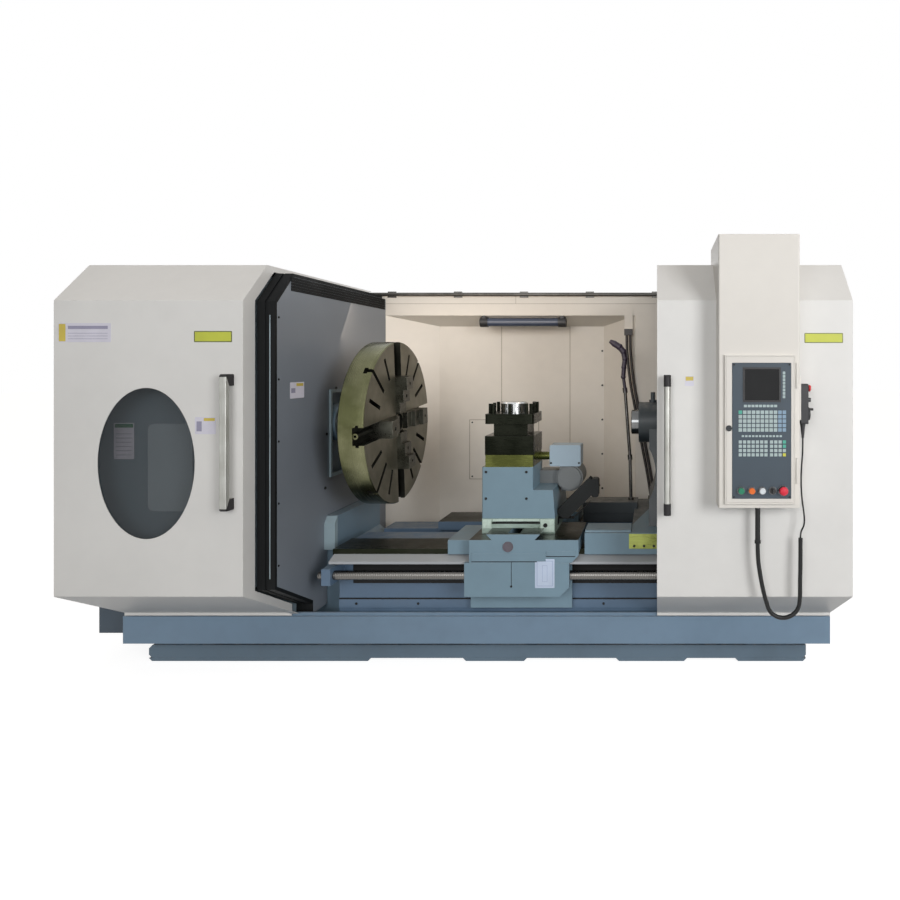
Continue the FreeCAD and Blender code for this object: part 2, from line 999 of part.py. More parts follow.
def chuck_body():
    back = chuck_face - chuck_thickness
    profile = [
        (back, spindle_bore + 1),
        (back, chuck_radius - chuck_chamfer),
        (back + chuck_chamfer, chuck_radius),
        (chuck_face - chuck_chamfer, chuck_radius),
        (chuck_face, chuck_radius - chuck_chamfer),
        (chuck_face, spindle_bore + 1),
    ]
    body = turned(profile, V(0, 0, spindle_z), X_AXIS)
    beyond = spindle_z + chuck_radius + 1
    tools = []
    for i in range(4):
        turn = chuck_phase + 90 * i
        for half, low, high in jaw_section(channel_depth, channel_width, tongue_depths, 0):
            channel = box(low, high, -half, half, spindle_z + channel_inner, beyond)
            tools.append(turned_about_spindle(channel, turn))
        for angle in slot_angles:
            outer = slot_outer if angle != 45 else chuck_radius + 1
            for half, low, high in (
                (slot_width / 2, chuck_face - slot_depth, chuck_face),
                (slot_under_width / 2, chuck_face - slot_depth, chuck_face - slot_under_depth),
            ):
                slot = box(low, high, -half, half, spindle_z + slot_inner, spindle_z + outer)
                tools.append(turned_about_spindle(slot, turn + angle))
    body = cut(body, Part.makeCompound(tools))
    screws = []
    screw_x = chuck_face - jaw_screw_depth
    for i in range(4):
        top = spindle_z + jaw_screw_end
        screw = rod_z(screw_x, 0, spindle_z + channel_inner + 4, top, jaw_screw_radius)
        socket = box(screw_x - 7, screw_x + 7, -7, 7, top - 20, top)
        screws.append(turned_about_spindle(screw.cut(socket), chuck_phase + 90 * i))
    return fused(body, *screws)


def jaw(index):
    inner = spindle_z + jaw_inner
    outer = spindle_z + jaw_outer
    (half, low, high), (tongue_half, tongue_low, tongue_high) = jaw_section(
        channel_depth - jaw_play, channel_width - 2 * jaw_play, tongue_depths, -jaw_play
    )
    pieces = [box(low, high, -half, half, inner, outer)]
    pieces.append(box(tongue_low, tongue_high, -tongue_half, tongue_half, inner + 14, outer))
    for start, height in jaw_steps:
        step = box(chuck_face, chuck_face + height, -half, half, spindle_z + start, outer)
        pieces.append(step)
    body = fused(*pieces)
    screw_x = chuck_face - jaw_screw_depth
    groove = rod_z(screw_x, 0, inner - 1, outer + 1, jaw_screw_radius + gap)
    groove_floor = box(
        screw_x - jaw_screw_radius - gap,
        screw_x,
        -jaw_screw_radius - gap,
        jaw_screw_radius + gap,
        inner - 1,
        outer + 1,
    )
    bolts = []
    for start, height in jaw_steps[1:]:
        centre = V(chuck_face + height, 0, spindle_z + start + 36)
        bolts.append(Part.makeCylinder(11, 24, centre - V(24, 0, 0), X_AXIS))
    body = cut(body, groove, groove_floor, *bolts)
    return turned_about_spindle(body, chuck_phase + 90 * index)


# ------------------------------------------------------------------ fixed enclosure
def closed_section(line):
    """A guard's section closed along the beam's front, for end walls."""
    return line + [(beam_front, tray_top)]


def headstock_guard():
    line = guard_line(guard_depths)
    right = bulkhead_x - bulkhead_thickness
    skin = prism_x(sheet_band(line), guard_left, right)
    end_wall = prism_x(closed_section(line), guard_left, guard_left + sheet)
    face_y = line[2][0]
    cover = box(*cover_x, face_y - cover_proud, face_y, *cover_z)
    cover = cover.makeFillet(cover_corner, edges_along(cover, Y_AXIS))
    rim_radius = bar_hole_radius + bar_rim_width
    rim = rod_x(guard_left - bar_rim_proud, guard_left + sheet, 0, spindle_z, rim_radius)
    hole = rod_x(guard_left - 2 * bar_rim_proud, guard_left + 2 * sheet, 0, spindle_z, bar_hole_radius)
    return cut(fused(skin, end_wall, cover, rim), hole)


def bulkhead():
    right = bulkhead_x
    left = right - bulkhead_thickness
    plate = prism_x(closed_section(guard_line(guard_depths)), left, right)
    half = nose_half + nose_rim
    rim = box(
        right,
        right + nose_rim_proud,
        -half,
        half,
        nose_bottom - nose_rim,
        nose_top + nose_rim,
    )
    nose = box(left, right + nose_rim_proud, -nose_half, nose_half, nose_bottom, nose_top)
    play = 6 * gap
    pedestal = box(
        left, right, pedestal_front - play, pedestal_back + play, tray_top, pedestal_top + play
    )
    wall = cut(fused(plate, rim), nose, pedestal)
    gusset = prism_x(
        [(pedestal_front - play - 34, pedestal_step_z), (pedestal_front - play, pedestal_step_z),
         (pedestal_front - play, pedestal_top), (pedestal_front - play - 34, pedestal_top - 40)],
        right,
        pedestal_step_x,
    )
    return fused(wall, gusset)


def bulkhead_seal():
    inner = [depth + seal_thickness for depth in seal_depths[:-1]] + [guard_depths[-1]]
    line = [(seal_roof_back, hood_top)] + hood_line[1:]
    ring = prism_x(band(line, seal_depths, inner), seal_left, bulkhead_x)
    shallow = [depth - 1 for depth in seal_depths]
    deep = [depth + seal_groove_depth for depth in seal_depths[:-1]] + [seal_depths[-1] + 2]
    middle = (seal_left + bulkhead_x) / 2
    groove = prism_x(
        band(line, shallow, deep), middle - seal_groove / 2, middle + seal_groove / 2
    )
    return ring.cut(groove)


def rear_roof_line():
    """The slanted roof behind the beam, from beyond the wall up to the beam."""
    back = rear_plan[2][1]
    beyond = back + 2 * tray_margin
    slope = rear_roof_drop / (back - beam_front)
    return [(beyond, beam_bottom - slope * (beyond - beam_front)), (beam_front, beam_bottom)]


def rear_guard():
    left = rear_plan[0][0]
    right = rear_plan[-1][0]
    wall = prism_z(band(rear_plan, even(0, rear_plan), even(sheet, rear_plan)), pan, beam_bottom)
    back = rear_plan[2][1]
    (beyond, low), _ = roof_line = rear_roof_line()
    above = prism_x(
        [(beam_front, beam_bottom), (beyond, low), (beyond, beam_top)],
        rear_plan[1][0] - tray_margin,
        rear_plan[4][0] + tray_margin,
    )
    roof = prism_x(sheet_band(roof_line), rear_plan[1][0], rear_plan[4][0])
    bulge = offset_path(rear_plan, even(sheet, rear_plan))[1:5]
    under_roof = prism_z(
        [rear_plan[1]] + bulge + [rear_plan[4]],
        beam_bottom - 2 * rear_roof_drop,
        beam_top,
    )
    beam_line = [
        (beam_front + beam_depth, beam_top),
        (beam_front, beam_top),
        (beam_front, beam_bottom),
        (beam_front + beam_depth, beam_bottom),
    ]
    beam = prism_x(sheet_band(beam_line), left, right)
    cover = box(*rear_cover_x, back - 2, back, *rear_cover_z)
    cover = cover.makeFillet(cover_corner / 2, edges_along(cover, Y_AXIS))
    return fused(wall.cut(above), roof.common(under_roof), beam, cover)


def top_rail():
    pieces = [rod_x(rail_left, rail_right, rail_y, rail_z, rail_radius)]
    clip_front = beam_front - clip_depth
    clips = int((rail_right - clip_first) / clip_pitch) + 1
    for i in range(clips):
        middle = clip_first + i * clip_pitch
        ends = (middle - clip_width / 2, middle + clip_width / 2)
        neck = box(*ends, rail_y + rail_radius / 2, beam_front, rail_z - neck_half, rail_z + neck_half)
        half = clip_height / 2
        clip = box(*ends, clip_front, beam_front, rail_z - half, rail_z + half)
        pieces += [neck, clip]
    return fused(*pieces)


def work_light():
    left, right = lamp_x
    tube_body = rod_x(left, right, lamp_y, lamp_z, lamp_radius)
    pieces = [tube_body]
    for start in (left, right - lamp_cap_length):
        pieces.append(rod_x(start, start + lamp_cap_length, lamp_y, lamp_z, lamp_cap_radius))
        middle = start + lamp_cap_length / 2
        pieces.append(
            box(middle - 14, middle + 14, beam_front + sheet, lamp_y, lamp_z - 12, beam_bottom)
        )
    (low_y, low_z), (high_y, high_z) = offset_path(rear_roof_line(), [sheet])
    above = prism_x(
        [(low_y, low_z), (high_y, high_z), (high_y, beam_top), (low_y, beam_top)],
        left - 1,
        right + 1,
    )
    return fused(*pieces).cut(above)


def tail_guard():
    line = guard_line(tail_depths)
    skin = prism_x(sheet_band(line), tail_left, tail_right)
    end_wall = prism_x(closed_section(line), tail_right - sheet, tail_right)
    return fused(skin, end_wall)


def wall_hoses():
    """Two hoses down the rear wall behind the tailstock, from a clip under the roof to a gland block."""
    route = ((937, 2000), (937, 1880), (947, 1750), (967, 1590), (999, 1431), (1024, 1290))
    route += ((1050, 1150), (1078, 1005), (1100, 880), (1110, 800))
    hose_y = beam_front - hose_radius - 8
    pieces = []
    for i in range(2):
        shift = i * hose_pitch
        points = [V(x + shift, hose_y, z) for x, z in route]
        pieces.append(tube(points, hose_radius, f"wall hose {i + 1}"))
    top_x, top_z = route[0]
    end_x, end_z = route[-1]
    reach = hose_radius + 8
    clip_x = (top_x - reach, top_x + hose_pitch + reach)
    clip = fused(
        box(*clip_x, hose_y - reach, beam_front, top_z - 34, top_z + 12),
        box(*clip_x, beam_front - 8, beam_front, top_z - 34, beam_bottom + 46),
    )
    for piece in pieces:
        clip = clip.cut(piece)
    gland = box(
        end_x - reach, end_x + hose_pitch + reach, hose_y - reach, beam_front, end_z - 70, end_z
    )
    return Part.makeCompound(pieces + [clip, gland])


# ------------------------------------------------------------------ hoods
def hood(left, width):
    """One sliding hood: folded skin, an end flange at each side, two rail bearings and two guide shoes."""
    right = left + width
    skin = prism_x(sheet_band(hood_line), left, right)
    flange = band(flange_line, even(0, flange_line), flange_depths)
    pieces = [skin]
    for start in (left, right - sheet):
        pieces.append(prism_x(flange, start, start + sheet))
    half = bearing_length / 2
    front = rail_y - rail_radius - bearing_wall
    for middle in (left + bearing_inset, right - bearing_inset):
        ends = (middle - half, middle + half)
        block = box(
            *ends,
            front,
            rail_y + bearing_open,
            rail_z - rail_radius - bearing_wall,
            hood_top - sheet,
        )
        bore = rod_x(*ends, rail_y, rail_z, rail_radius + running)
        mouth = box(*ends, rail_y, rail_y + bearing_open, rail_z - 2 * neck_half, rail_z + 2 * neck_half)
        pieces.append(cut(block, bore, mouth))
    inside = tray_front + sheet
    for start in (left + shoe_inset, right - shoe_inset - shoe_length):
        ends = (start, start + shoe_length)
        low = lip_bottom + 1
        crown = guide_top + 1
        outer = box(*ends, inside, guide_front + guide_width + 1 + shoe_leg, low, crown + shoe_leg)
        slot = box(*ends, guide_front - 1, guide_front + guide_width + 1, low, crown)
        pieces.append(outer.cut(slot))
    shell = fused(*pieces)
    bends = [(shoulder_y, hood_top), (hood_front, shoulder_z), (hood_front, hood_sill)]

    def outer_bend(middle):
        return any(math.hypot(middle.y - y, middle.z - z) < 1 for y, z in bends)

    return shell.makeFillet(2 * sheet, edges_along(shell, X_AXIS, outer_bend))


def oval(width, height, centre, run):
    """An upright ellipse in the plane of the hood's front, drawn out along Y."""
    ellipse = Part.Face(Part.Wire([Part.Ellipse(V(0, 0, 0), height / 2, width / 2).toShape()]))
    solid = ellipse.extrude(V(0, 0, run))
    solid.Placement = FreeCAD.Placement(centre, FreeCAD.Rotation(Z_AXIS, X_AXIS, Y_AXIS, "ZXY"))
    return solid


def left_hood():
    centre = V(left_hood_left + window_x, hood_front - 1, window_z)
    hole = oval(window_width, window_height, centre, sheet + 2)
    return hood(left_hood_left, left_hood_width).cut(hole)


def left_window():
    centre = V(left_hood_left + window_x, hood_front + sheet, window_z)
    wide = window_width + 2 * pane_overlap
    return oval(wide, window_height + 2 * pane_overlap, centre, pane_thickness)


def left_handle():
    """A flat extruded bar between two elbows that stand it off the hood."""
    low, high = left_handle_z
    front = hood_front - handle_reach
    back = front + left_handle_bar
    half = left_handle_width / 2
    outer = box(left_handle_x - half, left_handle_x + half, front, hood_front, low, high)
    grip = box(
        left_handle_x - half, left_handle_x + half, back, hood_front, low + handle_foot, high - handle_foot
    )
    handle = outer.cut(grip)

    def front_end(middle):
        return middle.y < front + 1

    handle = handle.makeFillet(14, edges_along(handle, X_AXIS, front_end))
    return handle.makeFillet(5, edges_along(handle, Z_AXIS, front_end))


def right_handle():
    """A round bar in two capped posts."""
    low, high = right_handle_z
    bar_y = hood_front - handle_reach + right_handle_radius
    pieces = [rod_z(right_handle_x, bar_y, low, high, right_handle_radius)]
    for start in (low, high - handle_foot):
        cap = rod_z(right_handle_x, bar_y, start, start + handle_foot, right_handle_radius + 2)
        post = rod_y(right_handle_x, bar_y, hood_front, start + handle_foot / 2, 12)
        pieces += [cap, post]
    return fused(*pieces)


# ------------------------------------------------------------------ control column
def knuckle(height, length, radius, pin):
    ring = rod_z(hinge_x, hinge_y, height, height + length, radius)
    return ring.cut(rod_z(hinge_x, hinge_y, height, height + length, pin))


def control_cabinet():
    right = column_left + column_width
    outline = [
        (column_front, column_bottom),
        (hood_front, column_bottom),
        (hood_front, shoulder_z),
        (shoulder_y, hood_top),
        (column_back, hood_top),
        (column_back, column_top),
        (column_front, column_top),
    ]
    body = prism_x(outline, column_left, right)

    def front_corner(middle):
        return middle.y < column_front + 1

    body = body.makeFillet(column_corner, edges_along(body, Z_AXIS, front_corner))
    hollow = prism_x(offset_ring(outline, sheet), column_left + sheet, right - sheet)
    doorway = box(
        door_x[0] + pocket_margin,
        door_x[1] - pocket_margin,
        column_front,
        column_front + 2 * sheet,
        door_z[0] + pocket_margin,
        door_z[1] - pocket_margin,
    )
    pieces = [cut(body, hollow, doorway)]
    for height in hinge_heights:
        leaf = box(hinge_x - 2, hinge_x + 2, hinge_y, column_front, height, height + hinge_length)
        ring = rod_z(hinge_x, hinge_y, height, height + hinge_length, hinge_radius)
        pin = rod_z(hinge_x, hinge_y, height, height + 2 * hinge_length, hinge_pin)
        pieces += [leaf, ring, pin]
    pieces.append(rod_z(stub_x, stub_y, stub_bottom, column_bottom, stub_radius))
    pieces.append(rod_z(stub_x, stub_y, stub_bottom, stub_bottom + 14, stub_radius + 3))
    low, high = pendant_z
    pieces.append(
        box(right, right + holder_thickness, *pendant_y, low + 20, high + 34)
    )
    return fused(*pieces)


def panel_door():
    back = column_front - gap
    front = back - door_thickness
    outer = box(*door_x, front, back, *door_z)

    def rim_corner(middle):
        return middle.y < front + 1

    outer = outer.makeFillet(3, edges_along(outer, Z_AXIS, rim_corner))
    frame_cut = box(
        panel_x[0] - panel_play,
        panel_x[1] + panel_play,
        front,
        back,
        panel_z[0] - panel_play,
        panel_z[1] + panel_play,
    )
    border = box(
        door_x[0] + 6,
        door_x[1] - 6,
        front,
        front + 1.5,
        door_z[0] + 6,
        door_z[1] - 6,
    )
    land = box(
        door_x[0] + 9,
        door_x[1] - 9,
        front,
        front + 1.5,
        door_z[0] + 9,
        door_z[1] - 9,
    )
    latch_hole = rod_y(latch_x, front, back, latch_z, stem_radius + running)
    pieces = [cut(outer, frame_cut, border.cut(land), latch_hole)]
    for height in hinge_heights:
        base = height + hinge_length + running
        ring = rod_z(hinge_x, hinge_y, base, base + hinge_length, hinge_radius)
        leaf = box(door_x[1] - 2, hinge_x, hinge_y - 1.5, hinge_y + 1.5, base, base + hinge_length)
        bore = rod_z(hinge_x, hinge_y, base, base + hinge_length, hinge_pin + running)
        pieces.append(fused(ring, leaf).cut(bore))
    return fused(*pieces)


def panel_stems():
    """Where each control of the panel goes through: (x, z)."""
    return [(x, button_z) for x in button_xs + (selector_x, stop_x)]


def cnc_panel():
    """Panel front with a back box, a bezel behind the frame, a screen recess and raised key fields."""
    front = column_front - gap - door_thickness - panel_proud
    back = column_front + panel_depth
    plate = box(*panel_x, front, column_front - gap, *panel_z)
    bezel = box(
        panel_x[0] - 8, panel_x[1] + 8, column_front - gap, column_front + 4, panel_z[0] - 8, panel_z[1] + 8
    )
    housing = box(panel_x[0] + 6, panel_x[1] - 6, column_front, back, panel_z[0] + 6, panel_z[1] - 6)
    screen = box(*screen_x, front, front + screen_recess, *screen_z)
    body = cut(fused(plate, bezel, housing), screen)
    wells = [rod_y(x, front, back - 6, z, stem_radius + running) for x, z in panel_stems()]
    return cut(body, *wells)


def panel_front():
    return column_front - gap - door_thickness - panel_proud


def push_button(x):
    """A flat cap on a stem, with a collar left round it."""
    front = panel_front()
    profile = [
        (-30, 0),
        (-30, stem_radius),
        (button_travel + 1, stem_radius),
        (button_travel + 1, button_radius),
        (20, button_radius),
        (22, button_radius - 2),
        (22, 0),
    ]
    return turned(profile, V(x, front, button_z), V(0, -1, 0))


def mode_selector():
    front = panel_front()
    profile = [
        (-30, 0),
        (-30, stem_radius),
        (gap, stem_radius),
        (gap, button_radius),
        (12, button_radius),
        (12, 0),
    ]
    base = turned(profile, V(selector_x, front, button_z), V(0, -1, 0))
    grip = box(selector_x - 4, selector_x + 4, front - 24, front - 11, button_z - 14, button_z + 14)
    grip = grip.makeFillet(2, edges_along(grip, Y_AXIS))
    return fused(base, grip)


def stop_button(centre, axis, radius, stem):
    """An emergency stop's mushroom head on its stem."""
    profile = [
        (-stem, 0),
        (-stem, stem_radius),
        (stop_travel + 8, stem_radius),
        (stop_travel + 8, radius - 3),
        (stop_travel + 11, radius),
        (stop_travel + 16, radius),
        (stop_travel + 21, radius - 5),
        (stop_travel + 23, 0),
    ]
    return turned(profile, centre, axis)


def panel_latch():
    front = column_front - gap - door_thickness
    profile = [
        (-door_thickness - 6, 0),
        (-door_thickness - 6, stem_radius),
        (gap, stem_radius),
        (gap, latch_radius),
        (6, latch_radius),
        (8, latch_radius - 2),
        (8, 0),
    ]
    body = turned(profile, V(latch_x, front, latch_z), V(0, -1, 0))
    slot = box(latch_x - 9, latch_x + 9, front - 8, front - 5, latch_z - 2, latch_z + 2)
    cam_back = column_front + 6
    cam = box(latch_x - 6, latch_x + 6, cam_back - 0.5, cam_back + 3, latch_z - 6, latch_z + 6)
    return fused(body.cut(slot), cam)


# ------------------------------------------------------------------ hand pendant and its lead
def pendant_left():
    return column_left + column_width + holder_thickness


def pendant_body():
    left = pendant_left()
    right = left + pendant_thickness
    body = box(left, right, *pendant_y, *pendant_z)
    body = body.makeFillet(8, edges_along(body, X_AXIS))
    low = pendant_z[0]
    relief = turned(
        [(0, 0), (0, 14), (18, 11), (relief_length, 6), (relief_length, 0)],
        V(relief_x, relief_y, low),
        V(0, 0, -1),
    )
    holes = []
    for y, z in pendant_stems():
        holes.append(rod_x(right - pendant_hole, right, y, z, 5 + running))
    return cut(fused(body, relief), *holes)


def pendant_stems():
    middle = (pendant_y[0] + pendant_y[1]) / 2
    stems = [(middle, pendant_stop_z), (middle, pendant_wheel_z)]
    return stems + [(y, pendant_knob_z) for y in pendant_knob_ys]


def pendant_part(y, z, profile):
    right = pendant_left() + pendant_thickness
    return turned(profile, V(right, y, z), X_AXIS)


def pendant_wheel():
    y, z = pendant_stems()[1]
    rim = pendant_wheel_radius
    profile = [(-18, 0), (-18, 5), (gap, 5), (gap, rim - 3), (3, rim), (11, rim), (13, rim - 3), (13, 0)]
    wheel = pendant_part(y, z, profile)
    right = pendant_left() + pendant_thickness
    crank = rod_x(right + 10, right + 32, y, z + rim - 10, 6)
    return fused(wheel, crank)


def pendant_knob(index):
    y = pendant_knob_ys[index]
    profile = [(-18, 0), (-18, 5), (gap, 5), (gap, knob_radius), (14, knob_radius - 2), (14, 0)]
    knob = pendant_part(y, pendant_knob_z, profile)
    right = pendant_left() + pendant_thickness
    pointer = box(right + 13, right + 16, y - 1.5, y + 1.5, pendant_knob_z - 8, pendant_knob_z + 9)
    return fused(knob, pointer)


def pendant_stop():
    y, z = pendant_stems()[0]
    profile = [
        (-18, 0),
        (-18, 5),
        (stop_travel + 2, 5),
        (stop_travel + 2, 15),
        (stop_travel + 5, 17),
        (stop_travel + 10, 17),
        (stop_travel + 14, 12),
        (stop_travel + 14, 0),
    ]
    return pendant_part(y, z, profile)


def pendant_conduit():
    """The conduit's loop, from the stub under the column to the open end that takes the cable."""
    route = ((1655, 872), (1655, 801), (1665, 728), (1678, 655), (1695, 588), (1714, 529))
    route += ((1765, 500), (1819, 508), (1858, 547), (1864, 609), (1863, 680), (1865, 752))
    route += ((1866, 826), (1866, 897))
    sway = (0, 0, -1, -2, -2, -1, 1, 2, 1, -1, -3, -3, 0, 0)
    points = [V(x, stub_y + y, z) for (x, z), y in zip(route, sway)]
    points[0] = V(stub_x, stub_y, stub_bottom)
    return tube(points, conduit_radius, "conduit")


def pendant_cable():
    """The pendant's cable, from its strain relief down into the conduit's open end."""
    top = pendant_z[0] - relief_length
    route = ((1874.5, 0, top), (1874.5, 0, 1330), (1870, 2, 1268), (1867, 4, 1205))
    route += ((1868, 6, 1143), (1873, 8, 1085), (1881, 10, 1033), (1886, 12, 990))
    route += ((1883, 13, 955), (1866, 13, 927), (1866, 13, 897))
    points = [V(x, relief_y + y, z) for x, y, z in route]
    points[0] = V(relief_x, relief_y, top)
    return tube(points, cable_radius, "pendant cable")


# ------------------------------------------------------------------ carriage
def saddle():
    bottom = way_z + film
    front = prism_x(
        [
            (saddle_front, saddle_front_bottom),
            (saddle_front, saddle_top),
            (front_beam_back, saddle_top),
            (front_beam_back, bottom),
            (screw_guard_front - 6, bottom),
            (saddle_front + saddle_skirt, bottom - 12),
            (saddle_front + saddle_skirt, saddle_front_bottom),
        ],
        saddle_left,
        saddle_right,
    )
    corner = 40
    nick = prism_y(
        [
            (saddle_right - corner, saddle_front_bottom),
            (saddle_right, saddle_front_bottom),
            (saddle_right, saddle_front_bottom + corner),
        ],
        saddle_front,
        saddle_front + saddle_skirt,
    )
    wing = prism_x(
        [
            (wing_front, wing_lip_bottom),
            (wing_front, wing_top),
            (front_beam_back, wing_top),
            (front_beam_back, bottom),
            (way_front - gap, bottom),
            (way_front - gap, wing_lip_bottom),
        ],
        wing_left,
        saddle_left,
    )
    rear = box(saddle_left, rear_beam_right, rear_beam_front, saddle_back, bottom, saddle_top)
    keep = box(
        saddle_left,
        rear_beam_right,
        rear_way_back + gap,
        saddle_back,
        way_z - way_thickness + 12,
        bottom,
    )
    cross = box(slide_left, slide_right, saddle_front, saddle_back, bottom, saddle_top)
    middle = x_screw_x
    top = saddle_top + dovetail_height
    dovetail = prism_y(
        [
            (middle - dovetail_foot_half, saddle_top),
            (middle + dovetail_foot_half, saddle_top),
            (middle + dovetail_half, top),
            (middle - dovetail_half, top),
        ],
        saddle_front,
        saddle_back,
    )
    sight = rod_y(sight_x, saddle_front - 5, saddle_front, sight_z, sight_radius)
    lens = rod_y(sight_x, saddle_front - 5, saddle_front - 2, sight_z, sight_radius - 7)
    body = fused(front.cut(nick), wing, rear, keep, cross, dovetail, sight)
    wall = 30
    trough = box(
        middle - trough_half,
        middle + trough_half,
        saddle_front + wall,
        saddle_back - wall,
        trough_bottom,
        top,
    )
    bore = rod_y(middle, saddle_front + wall / 2, saddle_back, x_screw_z, x_screw_radius - 3 + running)
    return cut(body, trough, bore, lens)


def apron():
    plate = prism_y(
        [
            (apron_left, apron_bottom),
            (apron_right - apron_corner, apron_bottom),
            (apron_right, apron_bottom + apron_corner),
            (apron_right, saddle_front_bottom),
            (apron_left, saddle_front_bottom),
        ],
        saddle_front,
        saddle_front + saddle_skirt,
    )
    front = saddle_front + saddle_skirt
    nut = box(*nut_x, front, nut_back, *nut_z)
    back = box(apron_left, apron_right, pan_front, nut_back, pan_bottom, nut_z[1])
    body = fused(plate, nut, back)
    bore = rod_x(apron_left, apron_right, z_screw_y, z_screw_z, z_screw_radius + running)
    return body.cut(bore)


def x_screw():
    wall = 30
    neck = x_screw_radius - 3
    start = saddle_front + wall / 2 + gap
    thread = (saddle_front + wall + gap, saddle_back - wall - gap)
    profile = [
        (start, 0),
        (start, neck),
        (thread[0], neck),
        (thread[0], x_screw_radius),
        (thread[1], x_screw_radius),
        (thread[1], neck),
        (saddle_back - gap, neck),
        (saddle_back - gap, 0),
    ]
    return turned(profile, V(x_screw_x, 0, x_screw_z), Y_AXIS)


def x_motor():
    motor = servo(x_motor_half, x_motor_length, 20)
    turn = FreeCAD.Rotation(V(-1, 0, 0), Z_AXIS, Y_AXIS, "ZXY")
    motor.Placement = FreeCAD.Placement(V(x_screw_x, saddle_back, x_screw_z), turn)
    return motor


def cross_slide():
    middle = x_screw_x
    base = saddle_top + film
    roof = saddle_top + dovetail_height + film
    body = box(slide_left, slide_right, slide_front, slide_back, base, slide_top)
    flare = (dovetail_half - dovetail_foot_half) / dovetail_height
    foot = dovetail_foot_half + film + flare * film
    crown = dovetail_half + film + flare * film
    groove = prism_y(
        [(middle - foot, base), (middle + foot, base), (middle + crown, roof), (middle - crown, roof)],
        slide_front,
        slide_back,
    )
    nut_y = (-120, 20)
    nut = box(
        middle - nut_half, middle + nut_half, *nut_y, x_screw_z - x_screw_radius - 8, roof + 4
    )
    bore = rod_y(middle, slide_front, slide_back, x_screw_z, x_screw_radius + running)
    face_slot = box(
        slide_left + 76, post_right + 34, slide_front, slide_front + 14, slide_top - 26, slide_top - 14
    )
    return fused(cut(body, groove, face_slot), nut).cut(bore)


# ------------------------------------------------------------------ turret
def turret_post():
    """The post bolted on the cross slide, with the turret's machined base on top."""
    lower = box(slide_left, slide_right, slide_front, post_foot_back, slide_top, post_step_z)
    slant = prism_y(
        [
            (slide_right, slide_top),
            (slide_right + 1, slide_top),
            (slide_right + 1, post_step_z),
            (slide_right - 12, post_step_z),
        ],
        slide_front,
        post_foot_back,
    )
    upper = box(slide_left, post_right, slide_front, post_back, post_step_z, post_top)
    half = turret_side / 2
    base = box(
        turret_x - half + 3,
        turret_x + half - 3,
        turret_y - half + 3,
        turret_y + half - 3,
        post_top,
        turret_base_top,
    )
    neck = rod_x(turret_x, tbox_x[0], (tbox_y[0] + tbox_y[1]) / 2, tbox_shaft_z, tbox_shaft_radius)
    seat = rod_y(tmotor_x, tmotor_y[0] - 14, post_foot_back, tmotor_z, tmotor_radius)
    body = fused(cut(lower, slant, seat), upper)

    def front_edge(middle):
        return middle.y < slide_front + 1

    body = body.makeFillet(6, edges_along(body, Z_AXIS, front_edge))
    return fused(body, base, neck)


def turret_motor():
    middle = (tbox_y[0] + tbox_y[1]) / 2
    barrel = rod_y(tmotor_x, *tmotor_y, tmotor_z, tmotor_radius)
    cowl = rod_y(tmotor_x, tmotor_y[0] - 14, tmotor_y[0], tmotor_z, tmotor_radius - 10)
    saddle_block = box(
        tmotor_x - 60, tmotor_x + 50, middle - 50, middle + 50, tmotor_z, tbox_z[0]
    )
    terminal = box(*tbox_x, *tbox_y, *tbox_z)
    terminal = terminal.makeFillet(10, edges_along(terminal, Y_AXIS))
    foot = box(post_right, tmotor_x, -110, 20, *tmotor_foot_z)
    stem = box(post_right, slide_right - 12, -110, 20, post_step_z, tmotor_foot_z[1])
    under = box(post_right - 1, slide_right - 12 + 12, -111, 21, tmotor_foot_z[0] - 1, post_step_z)
    return fused(barrel, cowl, saddle_block, terminal, foot.cut(under), stem)


def turret_head():
    """A square four-way tool head with a slot for tools all round, clamp screws and a polished cap."""
    half = turret_side / 2
    waist = half - tool_slot_depth
    low, high = tool_slot
    foot = turret_base_top + gap
    block = box(turret_x - half, turret_x + half, turret_y - half, turret_y + half, foot, low)
    neck = box(turret_x - waist, turret_x + waist, turret_y - waist, turret_y + waist, low, high)
    plate = box(turret_x - half, turret_x + half, turret_y - half, turret_y + half, high, turret_top)
    plate = plate.makeFillet(18, edges_along(plate, Z_AXIS))
    block = block.makeFillet(6, edges_along(block, Z_AXIS))
    pieces = [block, neck, plate]
    for side in range(4):
        for offset in clamp_offsets:
            post = rod_z(
                turret_x + offset,
                turret_y - half + clamp_inset,
                turret_top - 4,
                turret_top + clamp_height,
                clamp_radius,
            )
            screw_head = box(
                turret_x + offset - 8,
                turret_x + offset + 8,
                turret_y - half + clamp_inset - 8,
                turret_y - half + clamp_inset + 8,
                turret_top + clamp_height - 22,
                turret_top + clamp_height,
            )
            for piece in (post, screw_head):
                piece.rotate(V(turret_x, turret_y, 0), Z_AXIS, 90 * side)
                pieces.append(piece)
    cap = turned(
        [(0, 0), (0, cap_radius), (cap_height - 8, cap_radius), (cap_height, cap_radius - 10), (cap_height, 0)],
        V(turret_x, turret_y, turret_top),
        Z_AXIS,
    )
    for i in range(8):
        hole = rod(
            V(turret_x + cap_radius - 16, turret_y, turret_top + cap_height * 0.45),
            V(turret_x + cap_radius + 2, turret_y, turret_top + cap_height * 0.45),
            9,
        )
        hole.rotate(V(turret_x, turret_y, 0), Z_AXIS, 45 * i + 22.5)
        cap = cap.cut(hole)
    pieces.append(cap)
    return fused(*pieces)


